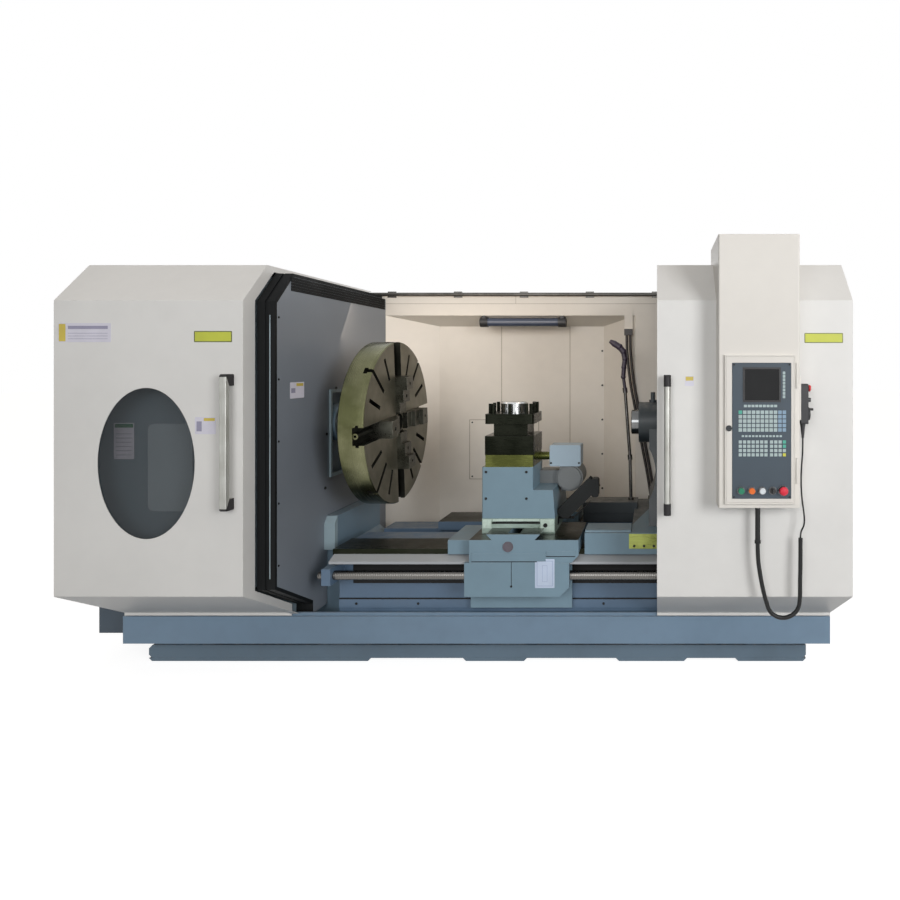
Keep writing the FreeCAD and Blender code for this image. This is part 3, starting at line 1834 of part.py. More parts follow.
# ------------------------------------------------------------------ cable chain
def cable_chain():
    """Links climbing at 45 degrees beside the post, their end hook, and the bent strip they stand on."""
    start_x, start_z = chain_start
    step = chain_run / chain_links
    front, back = chain_y
    pieces = []
    for i in range(chain_links):
        along = i * step
        side = box(along - 1, along + step + 1, front, front + 6, -chain_half + 3, chain_half - 3)
        other = side.copy()
        other.translate(V(0, back - front - 6, 0))
        inner = box(along + 4, along + step - 4, front, back, chain_half - 7, chain_half - 3)
        floor = box(along + 4, along + step - 4, front, back, -chain_half + 3, -chain_half + 7)
        pin = rod_y(along + step / 2, front - 1, back + 1, 0, chain_pin_radius)
        ring = pin.cut(rod_y(along + step / 2, front + 6, back - 6, 0, chain_pin_radius))
        pieces += [side, other, inner, floor, ring]
    run = fused(*pieces)
    run.rotate(V(0, 0, 0), Y_AXIS, -45)
    run.translate(V(start_x, 0, start_z))
    rest_z = chain_strip[0][1]
    below = box(start_x - 100, start_x + 100, front - 5, back + 5, rest_z - 100, rest_z)
    beside = box(slide_right - 60, slide_right + 2, front - 5, back + 5, rest_z, start_z + 80)
    end_x = start_x + chain_run * math.cos(math.pi / 4)
    hook = box(end_x - 18, end_x + 24, front, back, *chain_hook_z)
    hook = hook.makeFillet(14, edges_along(hook, Y_AXIS))
    strip = prism_y(
        band(chain_strip, even(0, chain_strip), even(-sheet, chain_strip)), front + 10, back - 10
    )
    tab = box(slide_right, slide_right + sheet, front + 10, back - 10, rest_z - 40, rest_z)
    return fused(cut(run, below, beside), hook, strip, tab)


# ------------------------------------------------------------------ tailstock
def tailstock_body():
    bottom = way_z + film
    base = box(tail_base_left, tail_base_right, tail_base_front, tail_base_back, bottom, tail_base_top)
    lip = box(
        front_foot_left,
        tail_base_right,
        wing_front,
        way_front - gap,
        wing_lip_bottom,
        tail_base_top,
    )
    front_foot = box(
        front_foot_left,
        tail_base_left,
        way_front - gap,
        front_foot_back,
        bottom,
        front_foot_top,
    )
    rear_slide = box(
        rear_foot_left, tail_base_left, rear_foot_front + 20, rear_foot_back, bottom, rear_foot_seam
    )
    rear_foot = box(
        rear_foot_left, tail_base_left + 18, rear_foot_front, rear_foot_back, rear_foot_seam, rear_foot_top
    )
    narrow = barrel_radius - 12
    body = prism_x(
        [
            (-body_half, tail_base_top),
            (body_half, tail_base_top),
            (narrow, spindle_z),
            (-narrow, spindle_z),
        ],
        body_left,
        body_right,
    )
    scoop = rod_y(
        body_left - scoop_offset, -body_half, body_half, (tail_base_top + spindle_z) / 2, scoop_radius
    )
    barrel = rod_x(barrel_left, barrel_right, 0, spindle_z, barrel_radius)
    knob = rod_z(knob_x, 0, spindle_z + barrel_radius - 4, spindle_z + barrel_radius + 62, 14)
    boss = rod_z(knob_x, 0, spindle_z + barrel_radius - 4, spindle_z + barrel_radius + 14, 24)
    casting = fused(base, lip, front_foot, rear_slide, rear_foot, body.cut(scoop), barrel, knob, boss)
    bore = rod_x(barrel_left, barrel_right - 22, 0, spindle_z, quill_radius + running)
    shaft = rod_x(barrel_right - 22, barrel_right, 0, spindle_z, tail_shaft_radius + running)
    casting = cut(casting, bore, shaft)

    def front_top(middle):
        return abs(middle.y - (way_front - gap)) < 1 and abs(middle.z - front_foot_top) < 1

    return casting.makeFillet(10, edges_along(casting, X_AXIS, front_top))


def quill():
    right = quill_left + quill_length
    profile = [
        (quill_left, taper_mouth),
        (quill_left, quill_radius - 4),
        (quill_left + 4, quill_radius),
        (right, quill_radius),
        (right, 0),
        (quill_left + taper_depth, 0),
        (quill_left + taper_depth, taper_end),
    ]
    return turned(profile, V(0, 0, spindle_z), X_AXIS)


def tail_handwheel():
    x = tail_wheel_x
    rim = Part.makeTorus(tail_wheel_radius - tail_wheel_rim, tail_wheel_rim, V(x, 0, spindle_z), X_AXIS)
    hub = turned(
        [
            (barrel_right - 21, 0),
            (barrel_right - 21, tail_shaft_radius),
            (barrel_right + gap, tail_shaft_radius),
            (barrel_right + gap, 34),
            (x + 16, 34),
            (x + 16, 0),
        ],
        V(0, 0, spindle_z),
        X_AXIS,
    )
    pieces = [rim, hub]
    for i in range(3):
        spoke = rod_z(x, 0, spindle_z, spindle_z + tail_wheel_radius - tail_wheel_rim, 9)
        pieces.append(turned_about_spindle(spoke, 120 * i))
    handle_z = spindle_z + tail_wheel_radius - tail_wheel_rim
    handle = turned(
        [(0, 0), (0, 7), (14, 7), (18, 12), (80, 14), (86, 0)],
        V(x, 0, handle_z),
        X_AXIS,
    )
    return fused(*pieces, handle)


def coolant_pipe():
    """A leaning stand pipe on the tailstock's rear foot with two unions, and a segmented nozzle."""
    foot_y = pipe_foot[1]
    foot = V(pipe_foot[0], foot_y, rear_foot_top)
    flange = 16
    bends = [foot + V(0, 0, flange / 2)] + [V(x, foot_y, z) for x, z in pipe_bends]
    pieces = [rod_z(foot.x, foot.y, foot.z, foot.z + flange, pipe_radius + 9)]
    for start, end in zip(bends, bends[1:]):
        pieces.append(rod(start, end, pipe_radius))
    for middle in bends[1:-1]:
        along = (bends[-1] - middle).normalize() * (pipe_union / 2)
        pieces.append(rod(middle - along, middle + along, pipe_radius + 5))
    links = [V(x, foot_y, z) for x, z in nozzle_bends]
    for start, end, radius in zip(links, links[1:], nozzle_radii):
        pieces.append(rod(start, end, radius))
        pieces.append(Part.makeSphere(radius + 2, start))
    heading = (links[-1] - links[-2]).normalize()
    mouth = Part.makeCone(nozzle_radii[-1] + 2, 12, 38, links[-1], heading)
    return fused(*pieces, mouth)


# ------------------------------------------------------------------ every node
nodes = {
    "levelling_pads": levelling_pads,
    "foot_frame": foot_frame,
    "chip_tray": chip_tray,
    "bed": bed,
    "screw_guard": screw_guard,
    "z_screw": z_screw,
    "z_motor": z_motor,
    "headstock": headstock,
    "spindle_bearings": spindle_bearings,
    "spindle": spindle,
    "drive_belt": drive_belt,
    "motor_pulley": motor_pulley,
    "main_motor": main_motor,
    "chuck_body": chuck_body,
    "headstock_guard": headstock_guard,
    "bulkhead": bulkhead,
    "bulkhead_seal": bulkhead_seal,
    "rear_guard": rear_guard,
    "top_rail": top_rail,
    "work_light": work_light,
    "tail_guard": tail_guard,
    "wall_hoses": wall_hoses,
    "left_hood": left_hood,
    "left_window": left_window,
    "left_handle": left_handle,
    "right_handle": right_handle,
    "control_cabinet": control_cabinet,
    "panel_door": panel_door,
    "cnc_panel": cnc_panel,
    "panel_latch": panel_latch,
    "mode_selector": mode_selector,
    "pendant_body": pendant_body,
    "pendant_wheel": pendant_wheel,
    "pendant_stop": pendant_stop,
    "pendant_conduit": pendant_conduit,
    "pendant_cable": pendant_cable,
    "saddle": saddle,
    "apron": apron,
    "x_screw": x_screw,
    "x_motor": x_motor,
    "cross_slide": cross_slide,
    "turret_post": turret_post,
    "turret_motor": turret_motor,
    "turret_head": turret_head,
    "cable_chain": cable_chain,
    "tailstock_body": tailstock_body,
    "quill": quill,
    "tail_handwheel": tail_handwheel,
    "coolant_pipe": coolant_pipe,
}
for name, make in nodes.items():
    save(name, make())

save("right_hood", hood(right_hood_left, right_hood_width))
for index in range(4):
    save(f"jaw_{index + 1}", jaw(index))
for name, x in zip(("green_button", "orange_button", "white_button"), button_xs):
    save(name, push_button(x))
stop_centre = V(stop_x, panel_front(), button_z)
save("panel_stop", stop_button(stop_centre, V(0, -1, 0), stop_radius, 30))
save("pendant_axis_knob", pendant_knob(0))
save("pendant_step_knob", pendant_knob(1))
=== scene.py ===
import math
import bmesh
import bpy
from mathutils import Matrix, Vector


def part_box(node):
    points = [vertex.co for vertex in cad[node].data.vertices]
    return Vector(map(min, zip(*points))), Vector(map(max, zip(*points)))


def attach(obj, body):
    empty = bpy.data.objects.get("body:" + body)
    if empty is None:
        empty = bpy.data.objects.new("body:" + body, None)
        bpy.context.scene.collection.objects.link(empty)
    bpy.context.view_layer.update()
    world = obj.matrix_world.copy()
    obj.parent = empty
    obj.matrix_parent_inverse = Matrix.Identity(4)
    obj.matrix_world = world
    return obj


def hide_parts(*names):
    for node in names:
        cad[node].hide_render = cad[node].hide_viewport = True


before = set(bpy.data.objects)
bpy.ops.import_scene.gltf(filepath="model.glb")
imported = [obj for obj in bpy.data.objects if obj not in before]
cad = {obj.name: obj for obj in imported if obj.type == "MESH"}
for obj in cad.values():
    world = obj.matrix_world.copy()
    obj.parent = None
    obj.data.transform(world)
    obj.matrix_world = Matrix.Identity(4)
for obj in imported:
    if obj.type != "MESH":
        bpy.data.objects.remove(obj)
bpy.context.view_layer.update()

scene = bpy.context.scene
scene.view_settings.view_transform = "Standard"


# ---------- camera, studio and floor
# A level camera stands square to the machine at 1.75 m, four metres in front of the spindle, its frame
# shifted to the left and down. Three windows and a warm strip under the machine's roof light it, and
# the pale floor runs into a white wall.
def place(tree, kind, feeds=None, **settings):
    """A shader node with its settings, its inputs given as numbers or joined to other nodes."""
    made = tree.nodes.new("ShaderNode" + kind)
    for name, value in settings.items():
        setattr(made, name, value)
    for name, value in (feeds or {}).items():
        if isinstance(value, bpy.types.NodeSocket):
            tree.links.new(value, made.inputs[name])
        else:
            made.inputs[name].default_value = value
    return made


def maths(tree, operation, *terms):
    return place(tree, "Math", dict(enumerate(terms)), operation=operation).outputs[0]


def blended(tree, factor, a, b):
    return place(tree, "Mix", {0: factor, 6: a, 7: b}, data_type="RGBA").outputs[2]


def seen_directly(tree):
    """1 for rays that come from the camera, a mirror or through glass, 0 for the rays that light."""
    path = place(tree, "LightPath").outputs
    either = maths(tree, "MAXIMUM", path["Is Camera Ray"], path["Is Glossy Ray"])
    return maths(tree, "MAXIMUM", either, path["Is Transmission Ray"])


lens = bpy.data.cameras.new("level camera")
lens.sensor_width = 36
lens.lens = 25.88
lens.shift_x = -0.2311
lens.shift_y = -0.0944
camera = bpy.data.objects.new("level camera", lens)
camera.location = (1.1635, -4.045, 1.750)
camera.rotation_euler = (math.radians(90), 0, 0)
scene.collection.objects.link(camera)
scene.camera = camera

studio = bpy.data.worlds.new("studio")
studio.use_nodes = True
scene.world = studio
tree = studio.node_tree
tree.nodes.clear()
towards = place(tree, "SeparateXYZ", {0: place(tree, "TexCoord").outputs["Generated"]}).outputs
share = place(tree, "MapRange", {"Value": towards["Z"], "From Min": -0.1, "From Max": 0.7}).outputs[0]
hall = blended(tree, share, (0.96, 0.99, 1.0, 1), (1.0, 0.90, 0.80, 1))
windows = {"Value": towards["X"], "From Min": -0.7, "From Max": 0.7, "To Min": 0.14, "To Max": 0.62}
strength = place(tree, "MapRange", windows).outputs[0]
soft = place(tree, "Background", {"Color": hall, "Strength": strength}).outputs[0]
wall = place(tree, "Background", {"Color": (1, 1, 1, 1), "Strength": 1.0}).outputs[0]
mixed = place(tree, "MixShader", {0: seen_directly(tree), 1: soft, 2: wall})
tree.links.new(mixed.outputs[0], tree.nodes.new("ShaderNodeOutputWorld").inputs[0])

for name, at, aim, width, height, power, colour in (
    ("front window", (-0.7, -7.8, 3.2), (-0.4, 0, 1.1), 4.6, 3.0, 178, (0.98, 0.99, 1.0)),
    ("right window", (5.2, -5.8, 2.6), (0.5, 0, 1.2), 2.4, 3.0, 222, (0.99, 0.99, 1.0)),
    ("rear window", (0.3, 8.5, 2.0), (0.3, 0.9, 1.2), 6.0, 3.0, 170, (0.98, 0.99, 1.0)),
    ("under the roof", (-0.10, 0.0, 2.05), (0.0, 0.9, 1.5), 1.6, 0.3, 3.1, (1.0, 0.78, 0.58)),
):
    lamp = bpy.data.lights.new(name, "AREA")
    lamp.shape = "RECTANGLE"
    lamp.size, lamp.size_y = width, height
    lamp.energy = power
    lamp.color = colour
    holder = bpy.data.objects.new(name, lamp)
    holder.location = at
    holder.visible_camera = False  # the lamp lights and is mirrored, and isn't seen itself
    holder.rotation_euler = (Vector(aim) - Vector(at)).to_track_quat("-Z", "Y").to_euler()
    scene.collection.objects.link(holder)

floor_half = 40
sheet = bpy.data.meshes.new("studio floor")
corners = [(x * floor_half, y * floor_half, 0) for x, y in ((-1, -1), (1, -1), (1, 1), (-1, 1))]
sheet.from_pydata(corners, [], [(0, 1, 2, 3)])
floor = bpy.data.objects.new("studio floor", sheet)
scene.collection.objects.link(floor)
floor_paint = bpy.data.materials.new("studio floor")
floor_paint.use_nodes = True
tree = floor_paint.node_tree
tree.nodes.clear()
lit = place(tree, "BsdfDiffuse", {"Color": (0.10, 0.11, 0.12, 1)})
pale = place(tree, "BsdfDiffuse", {"Color": (0.42, 0.42, 0.42, 1)})
white = place(tree, "Emission", {"Color": (1, 1, 1, 1), "Strength": 0.86})
glow = place(tree, "AddShader", {0: pale.outputs[0], 1: white.outputs[0]})
mixed = place(tree, "MixShader", {0: seen_directly(tree), 1: lit.outputs[0], 2: glow.outputs[0]})
tree.links.new(mixed.outputs[0], tree.nodes.new("ShaderNodeOutputMaterial").inputs[0])
sheet.materials.append(floor_paint)


# ---------- levelling pads, foot frame and tray
# Plate steel, welded and sprayed blue-grey. The pads are bolted flat to the floor, spacers carry the
# tray on the foot frame, and the tray's top edge wears a narrow rail that guides the hoods.
def paint(red, green, blue):
    """A colour off a paint card, 0 to 255, as the shader wants it."""
    card = [c / 255 for c in (red, green, blue)]
    return tuple(c / 12.92 if c < 0.04045 else ((c + 0.055) / 1.055) ** 2.4 for c in card) + (1.0,)


def times(tree, a, b):
    return maths(tree, "MULTIPLY", a, b)


def plus(tree, a, b):
    return maths(tree, "ADD", a, b)


def minus(tree, a, b):
    return maths(tree, "SUBTRACT", a, b)


surface = {"Colour": "Color", "Roughness": "Float", "Height": "Float"}


def shader_group(name, inputs, outputs=surface):
    """An empty node group with named inputs and outputs: (group, its inputs, its outputs)."""
    group = bpy.data.node_groups.new(name, "ShaderNodeTree")
    for label, value in inputs.items():
        kind = "NodeSocketColor" if isinstance(value, tuple) else "NodeSocketFloat"
        group.interface.new_socket(label, in_out="INPUT", socket_type=kind).default_value = value
    for label, kind in outputs.items():
        group.interface.new_socket(label, in_out="OUTPUT", socket_type="NodeSocket" + kind)
    return group, group.nodes.new("NodeGroupInput").outputs, group.nodes.new("NodeGroupOutput").inputs


def hand_out(group, puts, *values):
    """Joins values to a group's outputs, in their order."""
    for value, output in zip(values, puts):
        group.links.new(value, output)


def noise(tree, vector, scale, detail):
    return place(tree, "TexNoise", {"Vector": vector, "Scale": scale, "Detail": detail}).outputs["Fac"]


def spread(tree, value, low, high, to_low, to_high):
    """A value's range moved to another, clamped."""
    feeds = {"Value": value, "From Min": low, "From Max": high, "To Min": to_low, "To Max": to_high}
    return place(tree, "MapRange", feeds).outputs[0]


def scaled(tree, colour, amount):
    return place(tree, "VectorMath", {0: colour, "Scale": amount}, operation="SCALE").outputs[0]


# Sprayed enamel: broad shades, finer cloudiness, the skin's fine peel, and dust on what faces up.
enamel, given, puts = shader_group(
    "sprayed enamel",
    {"Colour": (0.5, 0.5, 0.5, 1), "Unevenness": 0.06, "Roughness": 0.4, "Peel": 0.4, "Dust": 0.3},
)
spot = place(enamel, "TexCoord").outputs["Object"]
broad = noise(enamel, spot, 1.3, 3.0)
cloudy = noise(enamel, spot, 12.0, 4.0)
low = minus(enamel, 1.0, given["Unevenness"])
high = maths(enamel, "MULTIPLY_ADD", given["Unevenness"], 0.6, 1.0)
clouds = plus(enamel, broad, times(enamel, cloudy, 0.35))
shade = spread(enamel, clouds, 0.5, 0.85, low, high)
tone = scaled(enamel, given["Colour"], shade)
facing = place(enamel, "NewGeometry").outputs["Normal"]
upward = spread(enamel, place(enamel, "SeparateXYZ", {0: facing}).outputs["Z"], 0.55, 0.95, 0.0, 1.0)
patches = spread(enamel, noise(enamel, spot, 28.0, 5.0), 0.38, 0.66, 0.15, 1.0)
dusty = times(enamel, times(enamel, upward, patches), given["Dust"])
dusted = blended(enamel, dusty, tone, (0.42, 0.40, 0.36, 1))
uneven = times(enamel, spread(enamel, cloudy, 0.3, 0.7, -0.5, 0.6), given["Unevenness"])
rough = plus(enamel, given["Roughness"], uneven)
gloss = plus(enamel, rough, times(enamel, dusty, 0.25))
peel = times(enamel, noise(enamel, spot, 380.0, 1.0), given["Peel"])
hand_out(enamel, puts, dusted, gloss, peel)

# Edges as they leave the shop: broken by a small radius, with the coat rubbed thin here and there.
edges, given, puts = shader_group(
    "broken edges", {"Radius": 0.002, "Patchiness": 30.0}, {"Edge": "Float", "Normal": "Vector"}
)
rounded = place(edges, "Bevel", {"Radius": given["Radius"]}, samples=4).outputs[0]
facing = place(edges, "NewGeometry").outputs["Normal"]
turn = place(edges, "VectorMath", {0: rounded, 1: facing}, operation="DOT_PRODUCT").outputs["Value"]
spot = place(edges, "TexCoord").outputs["Object"]
rubbed = spread(edges, noise(edges, spot, given["Patchiness"], 4.0), 0.42, 0.6, 0.0, 1.0)
worn_edge = times(edges, spread(edges, turn, 0.97, 0.82, 0.0, 1.0), rubbed)
hand_out(edges, puts, worn_edge, rounded)


def finish(name, effect, values, radius=0.002, worn=None, wear=0.0, grain=0.0004, **shader):
    """A material: one surface effect, broken edges that may show what is under the coat, and gloss."""
    made = bpy.data.materials.new(name)
    made.use_nodes = True
    tree = made.node_tree
    skin = next(n for n in tree.nodes if n.type == "BSDF_PRINCIPLED")
    body = tree.nodes.new("ShaderNodeGroup")
    body.node_tree = effect
    for label, value in values.items():
        body.inputs[label].default_value = value
    edge = tree.nodes.new("ShaderNodeGroup")
    edge.node_tree = edges
    edge.inputs["Radius"].default_value = radius
    colour = body.outputs["Colour"]
    if worn:
        colour = blended(tree, times(tree, edge.outputs["Edge"], wear), colour, worn)
    tree.links.new(colour, skin.inputs["Base Color"])
    tree.links.new(body.outputs["Roughness"], skin.inputs["Roughness"])
    feeds = {"Height": body.outputs["Height"], "Normal": edge.outputs["Normal"], "Distance": grain}
    bump = place(tree, "Bump", {**feeds, "Strength": 0.6}).outputs[0]
    tree.links.new(bump, skin.inputs["Normal"])
    for label, value in shader.items():
        skin.inputs[label.replace("_", " ")].default_value = value
    return made


def sprayed(name, colour, uneven=0.12, rough=0.42, peel=0.3, dust=0.2, **more):
    """Enamel out of a spray gun. peel says how deep its orange peel is."""
    values = {"Colour": paint(*colour), "Unevenness": uneven, "Roughness": rough}
    return finish(name, enamel, {**values, "Peel": peel, "Dust": dust}, **more)


def dress(node, *finishes, pick=None):
    """Puts finishes on a CAD node; pick says which one a face takes, from its middle and its normal."""
    mesh = cad[node].data
    mesh.materials.clear()
    for each in finishes:
        mesh.materials.append(each)
    for face in mesh.polygons:
        face.material_index = int(pick(face.center, face.normal)) if pick else 0


def dress_all(**finishes):
    for node, finish_of in finishes.items():
        dress(node, finish_of)


undercoat = paint(150, 158, 163)
base_paint = sprayed(
    "base enamel", (114, 137, 158), peel=0.6, dust=0.35, radius=0.003, worn=undercoat, wear=0.5,
)
foot_paint = sprayed(
    "foot enamel", (98, 117, 132), uneven=0.16, rough=0.5, peel=0.6, dust=0.5, radius=0.004,
    worn=paint(140, 148, 154), wear=0.6,
)
dress_all(levelling_pads=foot_paint, foot_frame=foot_paint)
# The tank's face takes a darker copy of the base enamel: painted shade, as it stands back under the
# left hood.
tank_painted_shade = sprayed(
    "tank enamel with painted shade", (64, 77, 89), uneven=0.1, rough=0.5, peel=0.6, dust=0.4, radius=0.003,
)
tank_right = -1.880
dress("chip_tray", base_paint, tank_painted_shade, pick=lambda middle, normal: middle.x < tank_right)


# ---------- bed
# One iron casting, filled and enamelled, with ways that are hardened and ground. The ground faces are
# bare and oiled, and show dark against the paint. Black cap screws hold a strip along its front, under
# the Z screw. Black sheets behind the screw are painted shade above and below it, and a thin black
# line at the top of the strip is its seam and the strip edge's painted shadow.
def oil_over(group, given, puts, oily, shade, marks, gloss):
    """Ends a steel group. gloss: roughness that low and high marks add, and that oil takes away."""
    tone = blended(group, oily, scaled(group, given["Colour"], shade), given["Oil"])
    rough = plus(group, given["Roughness"], spread(group, marks, 0.3, 0.7, *gloss[:2]))
    hand_out(group, puts, tone, minus(group, rough, times(group, oily, gloss[2])), marks)


steel, given, puts = shader_group(
    "oiled steel",
    {"Colour": (0.2, 0.2, 0.2, 1), "Oil": (0.05, 0.05, 0.03, 1), "Oiliness": 0.4, "Roughness": 0.3,
     "Along X": 1.0, "Along Y": 40.0, "Along Z": 40.0},
)
spot = place(steel, "TexCoord").outputs["Object"]
lay = place(steel, "CombineXYZ", {n: given["Along " + axis] for n, axis in enumerate("XYZ")}).outputs[0]
drawn = place(steel, "VectorMath", {0: spot, 1: lay}, operation="MULTIPLY").outputs[0]
scratches = noise(steel, drawn, 8.0, 5.0)
film = noise(steel, spot, 7.0, 4.0)
oily = times(steel, spread(steel, film, 0.38, 0.62, 0.0, 1.0), given["Oiliness"])
shade = spread(steel, scratches, 0.3, 0.7, 0.86, 1.12)
oil_over(steel, given, puts, oily, shade, scratches, gloss=(-0.07, 0.09, 0.12))


def oiled(name, colour, oil, oiliness=0.5, rough=0.3, lay=(1, 40, 40), grain=0.0002, **more):
    """Worked steel under oil. lay says how closely its tool marks stand along X, Y and Z."""
    values = {"Colour": paint(*colour), "Oil": paint(*oil), "Oiliness": oiliness, "Roughness": rough}
    values.update(zip(("Along X", "Along Y", "Along Z"), lay))
    return finish(name, steel, values, grain=grain, **more)


way_steel = oiled(
    "ground way", (38, 40, 31), (24, 28, 14), oiliness=0.8, rough=0.36, Metallic=0.6,
    Specular_IOR_Level=0.15,
)
bed_paint = sprayed(
    "bed enamel", (93, 116, 140), uneven=0.14, rough=0.4, peel=0.9, dust=0.25, radius=0.004,
    worn=undercoat, wear=0.5,
)
way_top = 0.707
way_under = 0.650
way_front = -0.37
square_on = 0.9  # a normal that reaches this far along an axis faces that way
hair = 0.001  # a face this near a height counts as being at it


def bed_face(middle, normal):
    front_way = middle.z > way_under and abs(normal.y) > square_on and middle.y < way_front
    return middle.z > way_top - hair or front_way


dress("bed", bed_paint, way_steel, pick=bed_face)
bed_left, bed_right, bed_front = -0.680, 2.030, -0.300
strip_face = bed_front - 0.006
sunk = 0.001  # how far a small piece reaches into what carries it
to_front, to_back, to_left, to_right = (0, -1, 0), (0, 1, 0), (-1, 0, 0), (1, 0, 0)


def solid(name, mesh, finishes, body, round_off=0.0, segments=2):
    """A bmesh made into a piece: its materials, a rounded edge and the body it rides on."""
    data = bpy.data.meshes.new(name)
    mesh.to_mesh(data)
    mesh.free()
    for each in finishes:
        data.materials.append(each)
    piece = bpy.data.objects.new(name, data)
    scene.collection.objects.link(piece)
    if round_off:
        bevel = piece.modifiers.new("round off", "BEVEL")
        bevel.width, bevel.segments, bevel.limit_method = round_off, segments, "ANGLE"
    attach(piece, body)
    return piece


def slab(mesh, x, y, z, index=0):
    """A box from low to high on each axis, its faces given a material."""
    made = bmesh.ops.create_cube(mesh, size=1.0)["verts"]
    for corner in made:
        corner.co = Vector([pair[side > 0] for pair, side in zip((x, y, z), corner.co)])
    for face in {f for corner in made for f in corner.link_faces}:
        face.material_index = index


def strip(mesh, x, face, proud, z, under=sunk):
    """A thin strip on a face that looks to the front. It stands proud of it and reaches under it."""
    slab(mesh, x, (face - proud, face + under), z)


def skirt(mesh, near, far):
    """The faces between two loops of corners."""
    return [mesh.faces.new(four) for four in zip(near, near[1:] + near[:1], far[1:] + far[:1], far)]


def turned(mesh, at, out, profile, sides=24):
    """A small turned piece from (reach, radius) pairs. A third value makes that ring a hexagon."""
    spin = Vector(out).to_track_quat("Z", "Y").to_matrix()
    rings = []
    for reach, radius, *hexagon in profile:
        ring = []
        for step in range(sides):
            angle = 2 * math.pi * step / sides
            flat = 1.0
            if hexagon:
                flat = math.cos(math.pi / 6) / math.cos(angle % (math.pi / 3) - math.pi / 6)
            around = Vector((math.cos(angle), math.sin(angle), 0)) * radius * flat
            ring.append(mesh.verts.new(Vector(at) + spin @ (around + Vector((0, 0, reach)))))
        rings.append(ring)
    mesh.faces.new(rings[0][::-1])
    mesh.faces.new(rings[-1])
    for low, high in zip(rings, rings[1:]):
        skirt(mesh, low, high)


def cap_screws(name, places, radius, out=to_front, body="base", height=0.6):
    """Socket head screws with a turned edge and a hexagon hole, all standing the same way."""
    heads = bmesh.new()
    tall = radius * height
    shape = [(-sunk, radius), (tall * 0.8, radius), (tall, radius * 0.86)]
    shape += [(tall, radius * 0.56, 6), (tall * 0.3, radius * 0.5, 6)]
    for at in places:
        turned(heads, at, out, shape)
    return solid(name, heads, [screw_black], body)


moulded, given, puts = shader_group(
    "moulded plastic",
    {"Colour": (0.1, 0.1, 0.1, 1), "Mottle": 0.08, "Grain": 700.0, "Roughness": 0.5},
)
spot = place(moulded, "TexCoord").outputs["Object"]
flow = noise(moulded, spot, 9.0, 4.0)
pores = noise(moulded, spot, given["Grain"], 2.0)
low = minus(moulded, 1.0, given["Mottle"])
tone = scaled(moulded, given["Colour"], spread(moulded, flow, 0.3, 0.7, low, 1.04))
gloss = plus(moulded, given["Roughness"], spread(moulded, flow, 0.3, 0.7, -0.05, 0.08))
hand_out(moulded, puts, tone, gloss, pores)


def mould(name, colour, mottle=0.2, grains=300, rough=0.45, radius=0.001, grain=0.0004, **more):
    """Moulded plastic, rubber or print. grains says how fine its pores are."""
    values = {"Colour": paint(*colour), "Mottle": mottle, "Grain": grains, "Roughness": rough}
    return finish(name, moulded, values, radius, grain=grain, **more)


screw_black = oiled(
    "blackened screw", (44, 45, 46), (24, 24, 22), rough=0.4, radius=0.0005, grain=0.0001,
    Metallic=0.7,
)
# Black for painted shade behind the Z screw and under the wipers, and for joints and a groove.
shade_and_joint_black = mould(
    "painted shade and joint black", (20, 20, 20), mottle=0.35, grains=90, radius=0.0005, grain=0.0003,
    Specular_IOR_Level=0.2,
)
strip_screw_z, strip_screw_first, strip_screw_pitch = 0.372, -0.579, 0.357
places = [(strip_screw_first + strip_screw_pitch * n, strip_face, strip_screw_z) for n in range(8)]
cap_screws("bed_strip_screws", places, radius=0.007)
# Painted shade: black sheets behind the screw, where the bed's front lies in shadow, and a thin black
# strip at the top of the screwed strip for its seam and painted shadow.
shade_sheet = bmesh.new()
strip(shade_sheet, (-0.600, 1.780), bed_front, 0.0014, (0.488, 0.648), under=0.0002)
strip(shade_sheet, (bed_left, bed_right), bed_front, 0.0045, (0.3965, 0.4035), under=0.0002)
solid("screw_painted_shade_sheet", shade_sheet, [shade_and_joint_black], "base", 0.0004)


# ---------- ball screw, its guard and its motor
# The Z screw is ground and runs in the open under a folded sheet guard, driven by a black servo motor
# at the tailstock end.
thread, given, puts = shader_group(
    "ground thread",
    {"Colour": (0.5, 0.5, 0.5, 1), "Lead": 0.01, "Middle Y": 0.0, "Middle Z": 0.0, "Roughness": 0.22},
)
spot = place(thread, "SeparateXYZ", {0: place(thread, "TexCoord").outputs["Object"]}).outputs
around = maths(
    thread, "ARCTAN2",
    minus(thread, spot["Y"], given["Middle Y"]),
    minus(thread, spot["Z"], given["Middle Z"]),
)
turns = times(thread, maths(thread, "DIVIDE", spot["X"], given["Lead"]), 2 * math.pi)
groove = maths(thread, "SINE", plus(thread, turns, around))
tone = scaled(thread, given["Colour"], spread(thread, groove, -1, 1, 0.84, 1.03))
gloss = plus(thread, given["Roughness"], spread(thread, groove, -1, 1, 0.1, 0.0))
hand_out(thread, puts, tone, gloss, groove)

z_thread = finish(
    "Z screw thread", thread,
    {"Colour": paint(112, 110, 107), "Lead": 0.01, "Middle Y": -0.420, "Middle Z": 0.573,
     "Roughness": 0.24},
    grain=0.0002, Metallic=1.0,
)
guard_sheet = sprayed("guard sheet", (172, 176, 180), uneven=0.06, rough=0.35, radius=0.001)
servo_black = sprayed(
    "servo enamel", (44, 45, 48), uneven=0.08, rough=0.45, peel=0.5, dust=0.3,
    worn=paint(88, 90, 92), wear=0.4,
)
dress_all(screw_guard=guard_sheet, z_screw=z_thread, z_motor=servo_black)


